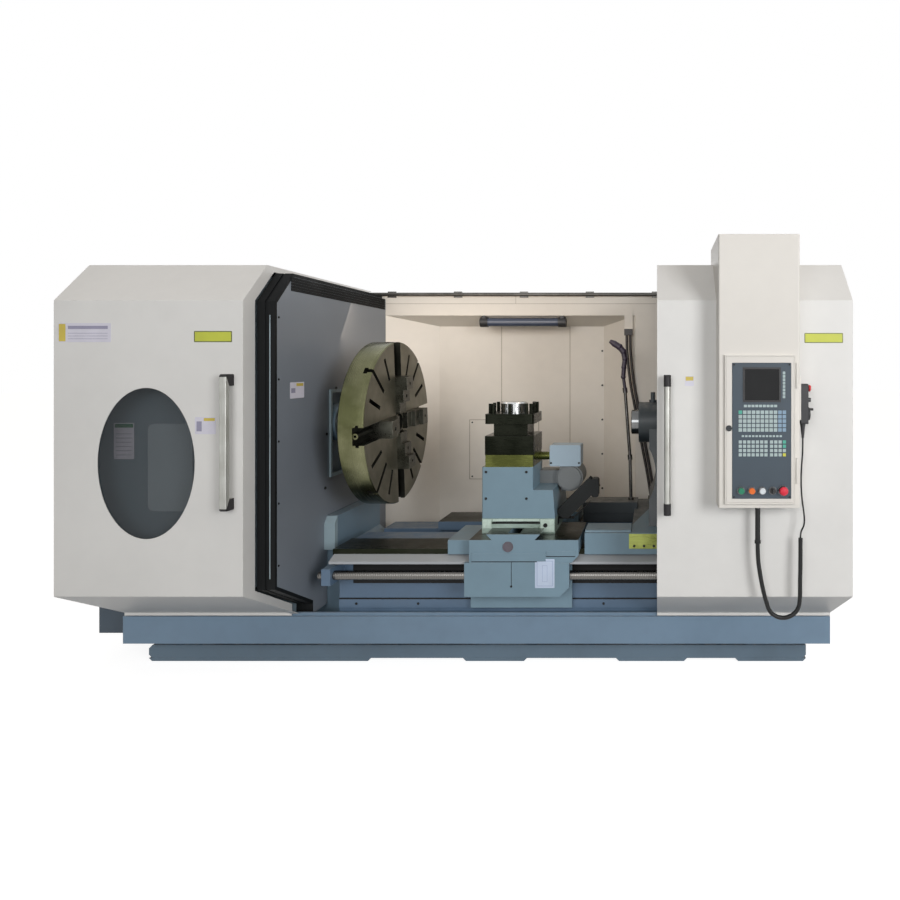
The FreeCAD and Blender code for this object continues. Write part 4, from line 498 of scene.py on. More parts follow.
# ---------- headstock and main drive
# The headstock casting carries the hollow spindle in two bearings. A ribbed belt drives it from the
# finned motor behind the left guard.
bright_steel = oiled(
    "bright steel", (176, 176, 172), (110, 108, 96), oiliness=0.35, rough=0.24,
    lay=(40, 4, 4), radius=0.0015, grain=0.00015, Metallic=1.0,
)
casting_paint = sprayed(
    "casting enamel", (112, 134, 150), peel=1.0, dust=0.3, radius=0.004, worn=undercoat, wear=0.4,
)
cast_iron = oiled(
    "machined cast iron", (104, 104, 100), (60, 60, 52), rough=0.42, lay=(20, 5, 5),
    grain=0.0003, Metallic=0.85,
)
motor_paint = sprayed(
    "motor enamel", (96, 108, 116), uneven=0.1, rough=0.45, peel=0.8, dust=0.5,
    worn=paint(140, 148, 152), wear=0.5,
)
belt_rubber = mould(
    "belt rubber", (34, 34, 35), mottle=0.15, grains=500, rough=0.7, radius=0.002, grain=0.0005,
)
dress_all(
    headstock=casting_paint, spindle_bearings=bright_steel, spindle=bright_steel,
    drive_belt=belt_rubber, motor_pulley=cast_iron, main_motor=motor_paint,
)


# ---------- chuck and jaws
# A one metre independent four-jaw chuck in cast steel. Its face and rim are turned, so the tool marks
# run round the spindle, and oil keeps them dark and greenish. The stepped jaws are hardened steel.
spindle_height = 1.394
lathed, given, puts = shader_group(
    "turned face",
    {"Colour": (0.2, 0.2, 0.2, 1), "Oil": (0.05, 0.05, 0.03, 1), "Oiliness": 0.4, "Roughness": 0.3,
     "Middle Z": spindle_height},
)
where = place(lathed, "TexCoord").outputs["Object"]
spot = place(lathed, "SeparateXYZ", {0: where}).outputs
high = minus(lathed, spot["Z"], given["Middle Z"])
squares = [times(lathed, each, each) for each in (spot["Y"], high)]
out = maths(lathed, "SQRT", plus(lathed, *squares))
ring = place(lathed, "CombineXYZ", {0: out, 1: spot["X"]}).outputs[0]
marks = noise(lathed, ring, 260.0, 3.0)
bands = noise(lathed, ring, 24.0, 2.0)
film = noise(lathed, where, 5.0, 4.0)
oily = times(lathed, spread(lathed, film, 0.36, 0.64, 0.0, 1.0), given["Oiliness"])
fine = spread(lathed, marks, 0.3, 0.7, 0.86, 1.12)
shade = times(lathed, fine, spread(lathed, bands, 0.3, 0.7, 0.9, 1.08))
oil_over(lathed, given, puts, oily, shade, marks, gloss=(-0.06, 0.08, 0.08))

chuck_face = finish(
    "turned chuck face", lathed,
    {"Colour": paint(124, 121, 108), "Oil": paint(68, 67, 52), "Oiliness": 0.65, "Roughness": 0.4},
    radius=0.003, worn=paint(170, 170, 160), wear=0.5, grain=0.0003, Metallic=0.75,
)
chuck_rim = finish(
    "turned chuck rim", lathed,
    {"Colour": paint(120, 120, 92), "Oil": paint(66, 69, 38), "Oiliness": 0.75, "Roughness": 0.25},
    radius=0.003, grain=0.00025, Metallic=0.95,
)
chuck_slot = oiled(
    "milled slot", (46, 47, 42), (20, 21, 16), oiliness=0.8, rough=0.5, lay=(6, 6, 6),
    Metallic=0.5, Specular_IOR_Level=0.15,
)
jaw_steel = oiled(
    "hardened jaw", (84, 84, 76), (38, 38, 30), oiliness=0.7, rough=0.36, lay=(18, 18, 18),
    radius=0.0025, worn=paint(176, 174, 162), wear=0.8, grain=0.00025, Metallic=0.85,
)
chuck_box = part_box("chuck_body")
rim_radius = (chuck_box[1].z - chuck_box[0].z) / 2
rim_chamfer = 0.012


def chuck_face_of(middle, normal):
    out = math.hypot(middle.y, middle.z - spindle_height)
    if middle.x > chuck_box[1].x - hair and normal.x > square_on:
        return 0
    return 1 if out > rim_radius - rim_chamfer else 2


dress("chuck_body", chuck_face, chuck_rim, chuck_slot, pick=chuck_face_of)
for number in range(1, 5):
    dress(f"jaw_{number}", jaw_steel)


# ---------- fixed guards
# Folded sheet, screwed to a frame: cream walls with filled joints and pressed louvres, and a grey-blue
# bulkhead with rubber bellows under the roof. A black seal frame closes the gap to the left hood. Rail
# and edging are drawn metal, the lamp is a glass tube with caps, and the plates are glued on.
wall_paint = sprayed("wall enamel", (235, 230, 221), uneven=0.05, rough=0.5, peel=0.35, dust=0.15)
guard_paint = sprayed("guard enamel", (124, 140, 150), uneven=0.06, peel=0.35)
bulkhead_paint = sprayed("bulkhead enamel", (122, 129, 138), uneven=0.05, worn=undercoat, wear=0.3)
# Black rubber, which also fills the louvre slots as painted shade.
rubber_and_slot_shade = mould(
    "seal rubber and painted slot shade", (15, 17, 18), grains=400, rough=0.6, radius=0.003, Specular_IOR_Level=0.15,
)
rail_chrome = oiled(
    "drawn rail", (98, 97, 94), (52, 50, 46), lay=(1, 60, 60), grain=0.0001, Metallic=0.6,
    Specular_IOR_Level=0.3,
)
lamp_glass = mould(
    "lamp glass", (68, 77, 97), mottle=0.06, grains=200, rough=0.2, radius=0.002, grain=0.0001,
    Coat_Weight=0.2,
)
lamp_cap = mould("lamp cap", (40, 40, 42), mottle=0.1, grains=600, radius=0.002)
cover_paint = sprayed("cover enamel", (168, 182, 190), uneven=0.06, peel=0.35)
guard_front = -0.673
hatch_x, hatch_z = (-1.4915, -1.2575), (0.9885, 1.4455)


def guard_face(middle, normal):
    on_hatch = hatch_x[0] < middle.x < hatch_x[1] and hatch_z[0] < middle.z < hatch_z[1]
    return on_hatch and middle.y < guard_front - 0.0005


dress("headstock_guard", guard_paint, cover_paint, pick=guard_face)
rim_paint = sprayed("rim enamel", (150, 170, 178), uneven=0.08, rough=0.4, peel=0.4)
bulkhead_face = -0.822
rim_from = bulkhead_face + hair
dress("bulkhead", bulkhead_paint, rim_paint, pick=lambda middle, normal: middle.x > rim_from)
dress_all(tail_guard=wall_paint, rear_guard=wall_paint, bulkhead_seal=rubber_and_slot_shade, top_rail=rail_chrome)
seal_face = -0.691
roof_seal_z = 2.229
edging = bmesh.new()
strip(edging, (-0.8505, -0.8455), seal_face, 0.0015, (0.640, 2.010), under=0.002)
edging_metal = oiled(
    "drawn edging", (150, 164, 170), (104, 116, 122), oiliness=0.4, rough=0.34,
    lay=(60, 60, 1), radius=0.0005, grain=0.0001, Metallic=0.8,
)
solid("seal_edging", edging, [edging_metal], "base", 0.0005)
folds = bmesh.new()
fold_pitch, fold_height = 0.0155, 0.0150
fold_x = (bulkhead_face - 0.0005, bulkhead_face + 0.0035)
for top in [roof_seal_z - fold_pitch * n for n in range(5)]:
    slab(folds, fold_x, (-0.545, 0.655), (top - fold_height, top))
solid("bulkhead_roof_bellows", folds, [rubber_and_slot_shade], "base", 0.0030, 3)
bolts = ((-0.056, 1.608), (-0.169, 1.337), (-0.187, 1.017), (0.112, 0.741), (0.447, 0.729))
cap_screws("bulkhead_bolts", [(bulkhead_face, y, z) for y, z in bolts], radius=0.009, out=to_right)
edge_screws = [(bulkhead_face, -0.660, 0.700 + 0.325 * n) for n in range(5)]
cap_screws("bulkhead_edge_screws", edge_screws, radius=0.006, out=to_right)
wall_back = 0.900
seams = bmesh.new()
beam_face = 0.672
half_joint = 0.002
strip(seams, (-0.820, 1.150), beam_face, 0.0005, (2.1955, 2.1985), under=0.0005)
strip(seams, (0.1255, 0.1285), beam_face, 0.0005, (2.1985, 2.2580), under=0.0005)
for x in (-0.031, 0.491):
    strip(seams, (x - half_joint, x + half_joint), wall_back, 0.0026, (0.790, 2.044), under=0.0005)
# Darker strips round the rear cover's edge are painted shade of that edge.
cover_x, cover_z, cover_gap = (-0.277, 0.254), (0.878, 1.334), 0.004
for x, z in (
    (cover_x, (cover_z[1] - cover_gap, cover_z[1])), (cover_x, (cover_z[0], cover_z[0] + cover_gap)),
    ((cover_x[0], cover_x[0] + cover_gap), cover_z), ((cover_x[1] - cover_gap, cover_x[1]), cover_z),
):
    strip(seams, x, wall_back, 0.0030, z, under=0.0005)
filler_and_gap_shade = mould(
    "seam filler and painted gap shade", (176, 168, 156), grains=200, rough=0.6, radius=0.0005, grain=0.0002,
)
solid("rear_wall_seams_and_gap_shade", seams, [filler_and_gap_shade], "base")
cover_face = wall_back - 0.002
cover_screws = [(x, cover_face, z) for x in (-0.255, -0.0115, 0.232) for z in (0.900, 1.312)]
cap_screws("rear_cover_screws", cover_screws, radius=0.006)
side_out, middle_out = 0.675, 0.903
rear_heights = [0.480 + 0.300 * n for n in range(6)]
rear_lines = [(x, side_out) for x in (-1.820, -1.345, -0.870, 1.040, 1.560, 2.090)]
rear_lines += [(x, middle_out) for x in (-0.470, 0.122, 0.715)]
rear_screws = [(x, y, z) for x, y in rear_lines for z in rear_heights]
cap_screws("rear_panel_screws", rear_screws, radius=0.008, out=to_back)
joints = bmesh.new()
for x, y in ((-1.375, side_out), (0.092, middle_out), (1.590, side_out)):
    slab(joints, (x - half_joint, x + half_joint), (y - 0.0005, y + 0.0008), (0.345, 2.030))
solid("rear_panel_joints", joints, [filler_and_gap_shade], "base")
louvres = bmesh.new()
louvre_wide, louvre_pitch, louvre_inset = 0.320, 0.052, 0.004
louvre_side = ((-0.0005, 0), (0.015, 0), (0.0165, 0.004), (0.0165, 0.009), (-0.0005, 0.034))
slot_out, slot_tall = 0.0010, 0.012
for left in (-1.760, -1.300):
    for low in [0.900 + louvre_pitch * n for n in range(9)]:
        ends = [
            [louvres.verts.new((x, side_out + out, low + up)) for out, up in louvre_side]
            for x in (left, left + louvre_wide)
        ]
        louvres.faces.new(ends[0])
        louvres.faces.new(ends[1][::-1])
        skirt(louvres, ends[1], ends[0])
        slot_x = (left + louvre_inset, left + louvre_wide - louvre_inset)
        slab(louvres, slot_x, (side_out - 0.0005, side_out + slot_out), (low - slot_tall, low))
bmesh.ops.recalc_face_normals(louvres, faces=louvres.faces)
# The slot under each louvre is a black slab: painted shade of the opening behind it.
for face in louvres.faces:
    in_slot = max(v.co.y for v in face.verts) < side_out + slot_out + 0.0002
    face.material_index = int(in_slot and len(face.verts) == 4)
solid("motor_vents", louvres, [wall_paint, rubber_and_slot_shade], "base", 0.0008)
end_places = [(y, z) for y in (-0.420, -0.060, 0.300, 0.620) for z in (0.400, 2.170)]
end_places += [(0.620, z) for z in (0.840, 1.280, 1.720)]
left_end, right_end = [[(x, y, z) for y, z in end_places] for x in (-1.860, 2.128)]
cap_screws("left_end_screws", left_end, radius=0.008, out=to_left)
cap_screws("right_end_screws", right_end, radius=0.008, out=to_right)
corner_x, corner_y = 0.738, 0.8975
corner_screws = [(corner_x, corner_y, 0.810 + 0.262 * n) for n in range(5)]
cap_screws("rear_wall_screws", corner_screws, radius=0.007)
foil_thick, print_thick = 0.0007, 0.0001


def foil(name, body, origin, size, base, fields=(), right=(1, 0, 0)):
    """A thin plate with round corners, and fields printed on it: (left, low, wide, high, finish)."""
    sheet = bmesh.new()
    right, up = Vector(right), Vector((0, 0, 1))
    out = right.cross(up)
    finishes = [base]
    for layer, (left, low, wide, high, finish_of) in enumerate([(0, 0, *size, base), *fields]):
        if finish_of not in finishes:
            finishes.append(finish_of)
        corner = min(0.0008 if layer else 0.004, wide / 3, high / 3)
        lifts = (0, foil_thick)
        if layer:
            lifts = (foil_thick - print_thick, foil_thick + print_thick * (layer + 1))
        outline = []
        for turn, (x, z) in enumerate(((wide, high), (0, high), (0, 0), (wide, 0))):
            x, z = left + (x - corner if x else corner), low + (z - corner if z else corner)
            for angle in [math.pi / 2 * (turn + step / 3) for step in range(4)]:
                outline.append((x + corner * math.cos(angle), z + corner * math.sin(angle)))
        under, over = [
            [sheet.verts.new(Vector(origin) + right * x + up * z + out * lift) for x, z in outline]
            for lift in lifts
        ]
        for face in [sheet.faces.new(over), sheet.faces.new(under[::-1]), *skirt(sheet, under, over)]:
            face.material_index = finishes.index(finish_of)
    return solid(name, sheet, finishes, body)


def print_on_foil(name, colour):
    return mould(name, colour, mottle=0.08, rough=0.38, radius=0.0003, grain=0.00005)


foil_white = print_on_foil("white foil", (218, 216, 228))
foil_yellow = print_on_foil("yellow foil", (206, 186, 84))
foil_grey = print_on_foil("grey print", (152, 150, 172))
foil_green = print_on_foil("green foil", (70, 128, 96))
foil(
    "bulkhead_plate", "base", (bulkhead_face, -0.554, 1.568), size=(0.138, 0.088), base=foil_white,
    fields=[(0.060, 0.066, 0.070, 0.016, foil_yellow), (0.010, 0.030, 0.040, 0.026, foil_grey)],
    right=(0, 1, 0),
)
guard_lines = [(0.012, 0.020 + 0.022 * n, 0.081, 0.003, foil_grey) for n in range(6)]
foil(
    "guard_plate", "base", (-1.672, guard_front, 1.260), size=(0.105, 0.188), base=foil_white,
    fields=[(0.004, 0.164, 0.097, 0.020, foil_green), *guard_lines],
)
lamp_lo, lamp_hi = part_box("work_light")
lamp_y, lamp_z, lamp_cap_long = 0.700, 2.064, 0.05
lamp_glass_radius = 0.0315


def lamp_face(middle, normal):
    out = math.hypot(middle.y - lamp_y, middle.z - lamp_z)
    between = lamp_lo.x + lamp_cap_long < middle.x < lamp_hi.x - lamp_cap_long
    return not (between and out < lamp_glass_radius)


dress("work_light", lamp_glass, lamp_cap, pick=lamp_face)
hose_skin = mould("wall hose", (52, 47, 46), rough=0.5, radius=0.002)
hose_clip_z, hose_clip_y, hose_flange_z = 1.966, 0.655, 2.011


def hose_face(middle, normal):
    return middle.z > hose_flange_z or middle.z > hose_clip_z and middle.y > hose_clip_y


dress("wall_hoses", hose_skin, wall_paint, pick=hose_face)


# ---------- hoods
# Two hoods of folded sheet, sprayed cream, hang on the rail behind and slide on the tray's edge. The
# left one has an oval tinted window. Both have a long pull handle, a drawn bar between moulded ends,
# and plain plates glued on.
hood_paint = sprayed("hood enamel", (225, 224, 221), uneven=0.04, dust=0.05, radius=0.003)
pane = mould(
    "tinted pane", (26, 32, 36), mottle=0.12, grains=60, rough=0.08, grain=0.0, Coat_Weight=0.15,
    Alpha=0.32,
)
dress_all(left_hood=hood_paint, right_hood=hood_paint, left_window=pane)

hood_front = -0.795
lip_left, lip_right = -0.9225, -0.876
lip = bmesh.new()
lip_thick, lip_back, lip_low = 0.003, -0.372, 0.342
slope = [(lip_left, hood_front + 0.010, 0.585), (lip_right, lip_back, lip_low)]
slope.append((lip_left, lip_back, lip_low))
outward = Vector((0, -0.49, -0.87)) * lip_thick
near = [lip.verts.new(Vector(corner) + outward) for corner in slope]
far = [lip.verts.new(corner) for corner in slope]
lip.faces.new(near[::-1])
lip.faces.new(far)
skirt(lip, near, far)
bmesh.ops.recalc_face_normals(lip, faces=lip.faces)
solid("left_hood_lip", lip, [hood_paint], "left_hood")
foil_lime = print_on_foil("lime foil", (196, 202, 72))
foil_olive = print_on_foil("olive border", (96, 100, 48))
chart_lines = [(0.050, 0.016 + 0.014 * n, 0.200, 0.002, foil_grey) for n in range(3)]
chart = [(0.004, 0.004, 0.034, 0.088, foil_yellow), (0.050, 0.066, 0.200, 0.016, foil_grey)]
chart += chart_lines
sign = [(0.044, 0.066, 0.056, 0.015, foil_yellow), (0.008, 0.014, 0.026, 0.050, foil_grey)]
for name, body, left, low, size, base, fields in (
    ("left_hood_chart", "left_hood", -1.850, 1.865, (0.266, 0.096), foil_white, chart),
    ("left_hood_plate", "left_hood", -1.167, 1.865, (0.191, 0.056), foil_olive,
     [(0.005, 0.005, 0.181, 0.046, foil_lime)]),
    ("left_handle_plate", "left_hood", -1.162, 1.403, (0.105, 0.086), foil_white, sign),
    ("right_hood_tab", "right_hood", 1.299, 1.645, (0.045, 0.050), foil_white,
     [(0.003, 0.027, 0.039, 0.020, foil_yellow)]),
    ("right_hood_plate", "right_hood", 1.899, 1.861, (0.194, 0.050), foil_olive,
     [(0.004, 0.004, 0.186, 0.042, foil_lime)]),
):
    foil(name, body, (left, hood_front, low), size, base, fields)

handle_bar = oiled(
    "handle bar", (176, 177, 172), (132, 130, 122), oiliness=0.45, rough=0.38,
    lay=(50, 50, 1), radius=0.004, grain=0.00005, Metallic=0.7,
)
handle_end = mould(
    "handle end", (30, 28, 30), mottle=0.12, grains=500, radius=0.004, Specular_IOR_Level=0.3,
)
handle_end_long = 0.055
for handle in ("left_handle", "right_handle"):
    lo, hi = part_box(handle)
    ends = (lo.z + handle_end_long, hi.z - handle_end_long)
    dress(handle, handle_bar, handle_end, pick=lambda middle, normal: not ends[0] < middle.z < ends[1])


# ---------- control column and panel
# A cream cabinet stands out from the right hood and carries the numerical control behind a hinged door.
# The panel is a dark printed sheet, screwed on at its corners, with a screen, fields of short-stroke
# keys and a row of moulded controls in steel collars.
conduit_skin = mould(
    "conduit", (15, 16, 17), mottle=0.15, grains=350, rough=0.4, grain=0.0002,
    Specular_IOR_Level=0.3,
)
column_paint = sprayed(
    "column enamel", (224, 220, 213), uneven=0.035, rough=0.4, dust=0.05, radius=0.003,
)
panel_sheet = mould("panel sheet", (54, 67, 78), mottle=0.08, grains=900, grain=0.0001)
screen_glass = mould(
    "screen", (9, 11, 14), mottle=0.1, grains=50, rough=0.14, radius=0.002, grain=0.00002,
    Specular_IOR_Level=0.4,
)
panel_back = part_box("cnc_panel")[0].y + 0.002  # the screen lies deeper than this
screen_x = (1.581, 1.746)
screen_z = (1.580, 1.730)


def panel_face(middle, normal):
    inside = screen_x[0] < middle.x < screen_x[1] and screen_z[0] < middle.z < screen_z[1]
    return inside and middle.y > panel_back and normal.y < -square_on


column_floor = 1.058
stub_below = column_floor - hair
dress("control_cabinet", column_paint, conduit_skin, pick=lambda middle, normal: middle.z < stub_below)
dress("panel_door", column_paint)
dress("cnc_panel", panel_sheet, screen_glass, pick=panel_face)


def plastic(name, colour, roughness=0.35):
    return mould(name, colour, mottle=0.06, grains=800, rough=roughness, grain=0.0001)


black_plastic = plastic("black plastic", (30, 30, 32), 0.4)
chrome = oiled(
    "chromed latch", (70, 72, 74), (36, 38, 38), oiliness=0.3, rough=0.2, radius=0.001,
    Metallic=1.0, grain=0.0004,
)
dress_all(
    green_button=plastic("green cap", (28, 124, 92)),
    orange_button=plastic("orange cap", (232, 112, 40)),
    white_button=plastic("white cap", (214, 220, 224)),
    mode_selector=black_plastic,
    panel_stop=plastic("red cap", (216, 36, 60)),
    panel_latch=chrome,
    pendant_body=plastic("pendant shell", (32, 32, 34), 0.5),
    pendant_wheel=black_plastic,
    pendant_axis_knob=black_plastic,
    pendant_step_knob=black_plastic,
    pendant_stop=plastic("pendant red", (214, 48, 52)),
)

panel_front = -0.929
button_row_z = 1.1453
bezels = bmesh.new()
bores = [0.0156] * 4 + [0.0218]  # four small buttons, then the emergency stop
for x, inside in zip((1.5635, 1.6145, 1.665, 1.7155, 1.766), bores):
    rim = [(-0.0005, inside + 0.0045), (0.0045, inside + 0.004), (0.006, inside + 0.0025)]
    rim += [(0.006, inside), (0.0005, inside)]
    turned(bezels, (x, panel_front, button_row_z), to_front, rim)
collar_steel = oiled(
    "satin collar", (112, 114, 116), (80, 82, 84), oiliness=0.3, lay=(20, 20, 20),
    radius=0.0004, grain=0.00005, Metallic=1.0,
)
solid("button_collars", bezels, [collar_steel], "panel_door")
tick = bmesh.new()
tick_base = panel_front - 0.0236
strip(tick, (1.7145, 1.7165), tick_base, 0.0009, (1.1475, 1.1575), under=0)
tick_white = plastic("selector tick", (214, 216, 216))
solid("selector_tick", tick, [tick_white], "mode_selector", 0.0003)
surround = bmesh.new()
surround_wide = 0.009
around_x = (screen_x[0] - surround_wide, screen_x[1] + surround_wide)
for x, z in (
    (around_x, (screen_z[1], screen_z[1] + surround_wide)),
    (around_x, (screen_z[0] - surround_wide, screen_z[0])),
    ((around_x[0], screen_x[0]), screen_z),
    ((screen_x[1], around_x[1]), screen_z),
):
    strip(surround, x, panel_front, 0.003, z, under=0.0005)
strip(surround, (1.5225, 1.8035), panel_front, 0.0004, (1.2815, 1.2835), under=0.0005)
solid("screen_surround", surround, [black_plastic], "panel_door", 0.0012)
corners = [(x, panel_front, z) for x in (1.5295, 1.7965) for z in (1.1145, 1.7520)]
cap_screws("panel_screws", corners, radius=0.0045, body="panel_door")

key_cap = plastic("key cap", (172, 188, 188), 0.4)
key_blue = plastic("blue-grey key", (134, 160, 182), 0.4)
key_green = plastic("green key", (80, 172, 150), 0.4)
key_yellow = plastic("yellow key", (206, 204, 80), 0.4)
key_bed = plastic("key field", (128, 150, 154), 0.5)
key_rise, bed_rise = 0.0016, 0.0004
caps = bmesh.new()
fields = bmesh.new()


def key_field(x, z, columns, rows, share, cap_at=lambda row, column: 0, split=99):
    """Rows of caps, each filling a share of its place. split leaves a gap after that many columns."""
    gap = 0.006 if split < columns else 0.0
    pitch = (x[1] - x[0] - gap) / columns
    drop = (z[1] - z[0]) / rows
    side, lift = pitch * (1 - share) / 2, drop * (1 - share) / 2
    for row in range(rows):
        for column in range(columns):
            left = x[0] + column * pitch + (gap if column >= split else 0.0)
            top = z[1] - row * drop
            wide, tall = (left + side, left + pitch - side), (top - drop + lift, top - lift)
            slab(caps, wide, (panel_front - key_rise, panel_front), tall, cap_at(row, column))


def upper_cap(row, column):
    return 2 if (row, column) == (0, 0) else int(column > 8)


def lower_cap(row, column):
    if (row, column) == (3, 10):
        return 3
    return 2 if column == 10 and row < 2 else 0


key_field((1.5494, 1.7824), (1.4268, 1.5332), 11, 5, 0.80, upper_cap)
key_field((1.5494, 1.7824), (1.3072, 1.3898), 11, 4, 0.74, lower_cap, split=7)
key_field((1.5754, 1.7390), (1.5454, 1.5600), 9, 1, 0.8)
key_field((1.5640, 1.7630), (1.4010, 1.4140), 12, 1, 0.7)
key_field((1.7630, 1.7776), (1.5890, 1.7200), 1, 8, 0.84)
for z in ((1.4238, 1.5362), (1.3042, 1.3928)):
    strip(fields, (1.5464, 1.7854), panel_front, bed_rise, z, under=0)
solid("panel_key_fields", fields, [key_bed], "panel_door")
key_finishes = [key_cap, key_blue, key_green, key_yellow]
solid("panel_keys", caps, key_finishes, "panel_door", 0.0007)


# ---------- pendant's conduit and cable
# The hand pendant's lead: a thin rubber cable hangs from its strain relief and runs down into a smooth
# black conduit, which hangs in a loop under the column and goes up into a stub on its floor.
def hanging_lead(name, points, diameter, finish_of):
    """A smooth open NURBS through the lead's route, as thick as the lead."""
    curve = bpy.data.curves.new(name, "CURVE")
    curve.dimensions = "3D"
    line = curve.splines.new("NURBS")
    line.points.add(len(points) - 1)
    for point, at in zip(line.points, points):
        point.co = (*at, 1)
    line.order_u = 3
    line.use_endpoint_u = True
    line.resolution_u = 8
    curve.bevel_depth = diameter / 2
    curve.bevel_resolution = 6
    curve.use_fill_caps = True
    curve.materials.append(finish_of)
    piece = bpy.data.objects.new(name, curve)
    scene.collection.objects.link(piece)
    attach(piece, "right_hood")
    return piece


cable_skin = mould(
    "pendant cable", (18, 18, 20), mottle=0.12, grains=700, rough=0.5, grain=0.0001,
    Specular_IOR_Level=0.3,
)
conduit_y = -0.855
sway = (0, 0, -1, -2, -2, -1, 1, 2, 1, -1, -3, -3, 0, 0)
conduit_line = (
    (1.655, 0.872), (1.655, 0.801), (1.665, 0.728), (1.678, 0.655), (1.695, 0.588), (1.714, 0.529),
    (1.765, 0.500), (1.819, 0.508), (1.858, 0.547), (1.864, 0.609), (1.863, 0.680), (1.865, 0.752),
    (1.866, 0.826), (1.866, 0.897),
)
conduit_points = [(x, conduit_y + aside / 1000, z) for (x, z), aside in zip(conduit_line, sway)]
conduit = hanging_lead("pendant_conduit_tube", conduit_points, 0.021, conduit_skin)
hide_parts("pendant_conduit")

cable_y = -0.868
cable_line = (
    (1.8745, 0, 1.392), (1.8745, 0, 1.330), (1.870, 0.002, 1.268), (1.867, 0.004, 1.205),
    (1.868, 0.006, 1.143), (1.873, 0.008, 1.085), (1.881, 0.010, 1.033), (1.886, 0.012, 0.990),
    (1.883, 0.013, 0.955), (1.866, 0.013, 0.927), (1.866, 0.013, 0.897),
)
cable_points = [(x, cable_y + aside, z) for x, aside, z in cable_line]
cable = hanging_lead("pendant_cable_lead", cable_points, 0.008, cable_skin)
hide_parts("pendant_cable")


# ---------- carriage, cross slide and apron
# Iron castings, enamelled blue-grey and scraped where they slide. The saddle has an oil sight glass and
# folded wipers over its front, and the apron is bolted under it, with an oil plug and a glued plate.
apron_paint = sprayed(
    "apron enamel", (119, 145, 160), uneven=0.09, rough=0.4, peel=0.8, dust=0.15, radius=0.004,
    worn=paint(170, 178, 182), wear=0.4,
)
slide_steel = oiled(
    "scraped slide", (166, 186, 176), (104, 120, 108), oiliness=0.7, rough=0.38,
    lay=(4, 14, 14), Metallic=0.35,
)
sight_glass = mould(
    "sight glass", (84, 74, 88), mottle=0.3, grains=60, rough=0.12, grain=0.00005, Coat_Weight=0.6,
)
sight_x, sight_z, sight_radius = 0.3347, 0.746, 0.029
saddle_top = 0.783
apron_front = -0.470


def saddle_face(middle, normal):
    out = math.hypot(middle.x - sight_x, middle.z - sight_z)
    if out < sight_radius + hair and middle.y < apron_front + 2 * hair:
        return 2
    return normal.z > square_on and middle.z > saddle_top - hair


dress("saddle", apron_paint, way_steel, sight_glass, pick=saddle_face)
dress_all(apron=apron_paint, x_screw=bright_steel, x_motor=servo_black)
foil_frame = print_on_foil("blue frame", (164, 180, 212))
foil_lilac = print_on_foil("lilac foil", (200, 214, 236))
frames = [(0.010, 0.010, 0.088, 0.140, foil_frame), (0.013, 0.013, 0.082, 0.134, foil_lilac)]
frames += [(0.040, 0.034, 0.028, 0.092, foil_frame), (0.042, 0.036, 0.024, 0.088, foil_lilac)]
foil("apron_plate", "carriage", (0.484, apron_front, 0.518), (0.108, 0.160), foil_lilac, frames)
wiper = bmesh.new()
strip(wiper, (0.132, 0.543), apron_front, 0.003, (0.665, 0.712))
strip(wiper, (0.546, 0.706), apron_front, 0.003, (0.694, 0.722))
solid("saddle_wipers", wiper, [apron_paint], "carriage", 0.0015)
# Dark lines: a seam down to the oil plug, and painted shadow under the lower edges of the wipers.
lines = bmesh.new()
strip(lines, (0.3515, 0.3545), apron_front, 0.0006, (0.530, 0.6645))
strip(lines, (0.132, 0.543), apron_front, 0.0008, (0.661, 0.6655))
strip(lines, (0.546, 0.706), apron_front, 0.0008, (0.690, 0.6945))
solid("apron_seam_and_shadow_lines", lines, [shade_and_joint_black], "carriage")
cap_screws("apron_plug", [(0.353, apron_front, 0.527)], radius=0.006, body="carriage")
dress("cross_slide", slide_steel, way_steel, pick=lambda middle, normal: normal.z > square_on)


# ---------- turret
# A square tool turret on a machined base, on a post that is bolted to the cross slide, indexed by the
# motor beside it. Its steel is blackened by heat and oil. Scraped gibs are screwed on under the post,
# and a chain of moulded links carries the leads.
post_paint = sprayed(
    "post enamel", (119, 146, 161), uneven=0.07, rough=0.36, peel=0.4, dust=0.1, radius=0.004,
    worn=paint(176, 184, 188), wear=0.3,
)
turret_base_steel = oiled(
    "turret base", (92, 96, 48), (58, 62, 24), oiliness=0.7, lay=(3, 3, 40), Metallic=0.85,
)
turret_black = oiled(
    "turret steel", (28, 30, 23), (13, 16, 8), oiliness=0.8, rough=0.32, lay=(4, 4, 30),
    radius=0.0025, worn=paint(84, 84, 76), wear=0.4, Metallic=0.7, Specular_IOR_Level=0.1,
)
cap_steel = oiled(
    "turret cap", (206, 208, 208), (120, 122, 120), oiliness=0.25, rough=0.18, lay=(6, 6, 6),
    grain=0.0001, Metallic=1.0,
)
terminal_grey = sprayed(
    "terminal box", (166, 186, 200), uneven=0.05, rough=0.4, dust=0.1, radius=0.003,
)
motor_grey = sprayed("turret motor", (112, 116, 117), uneven=0.1, rough=0.45, peel=0.5)
post_top = 1.164
turret_axis = (0.308, -0.190)
cap_radius = 0.079
turret_top = 1.468
motor_box_low = 1.142


def head_face(middle, normal):
    out = math.hypot(middle.x - turret_axis[0], middle.y - turret_axis[1])
    return middle.z > turret_top + hair and out < cap_radius + hair


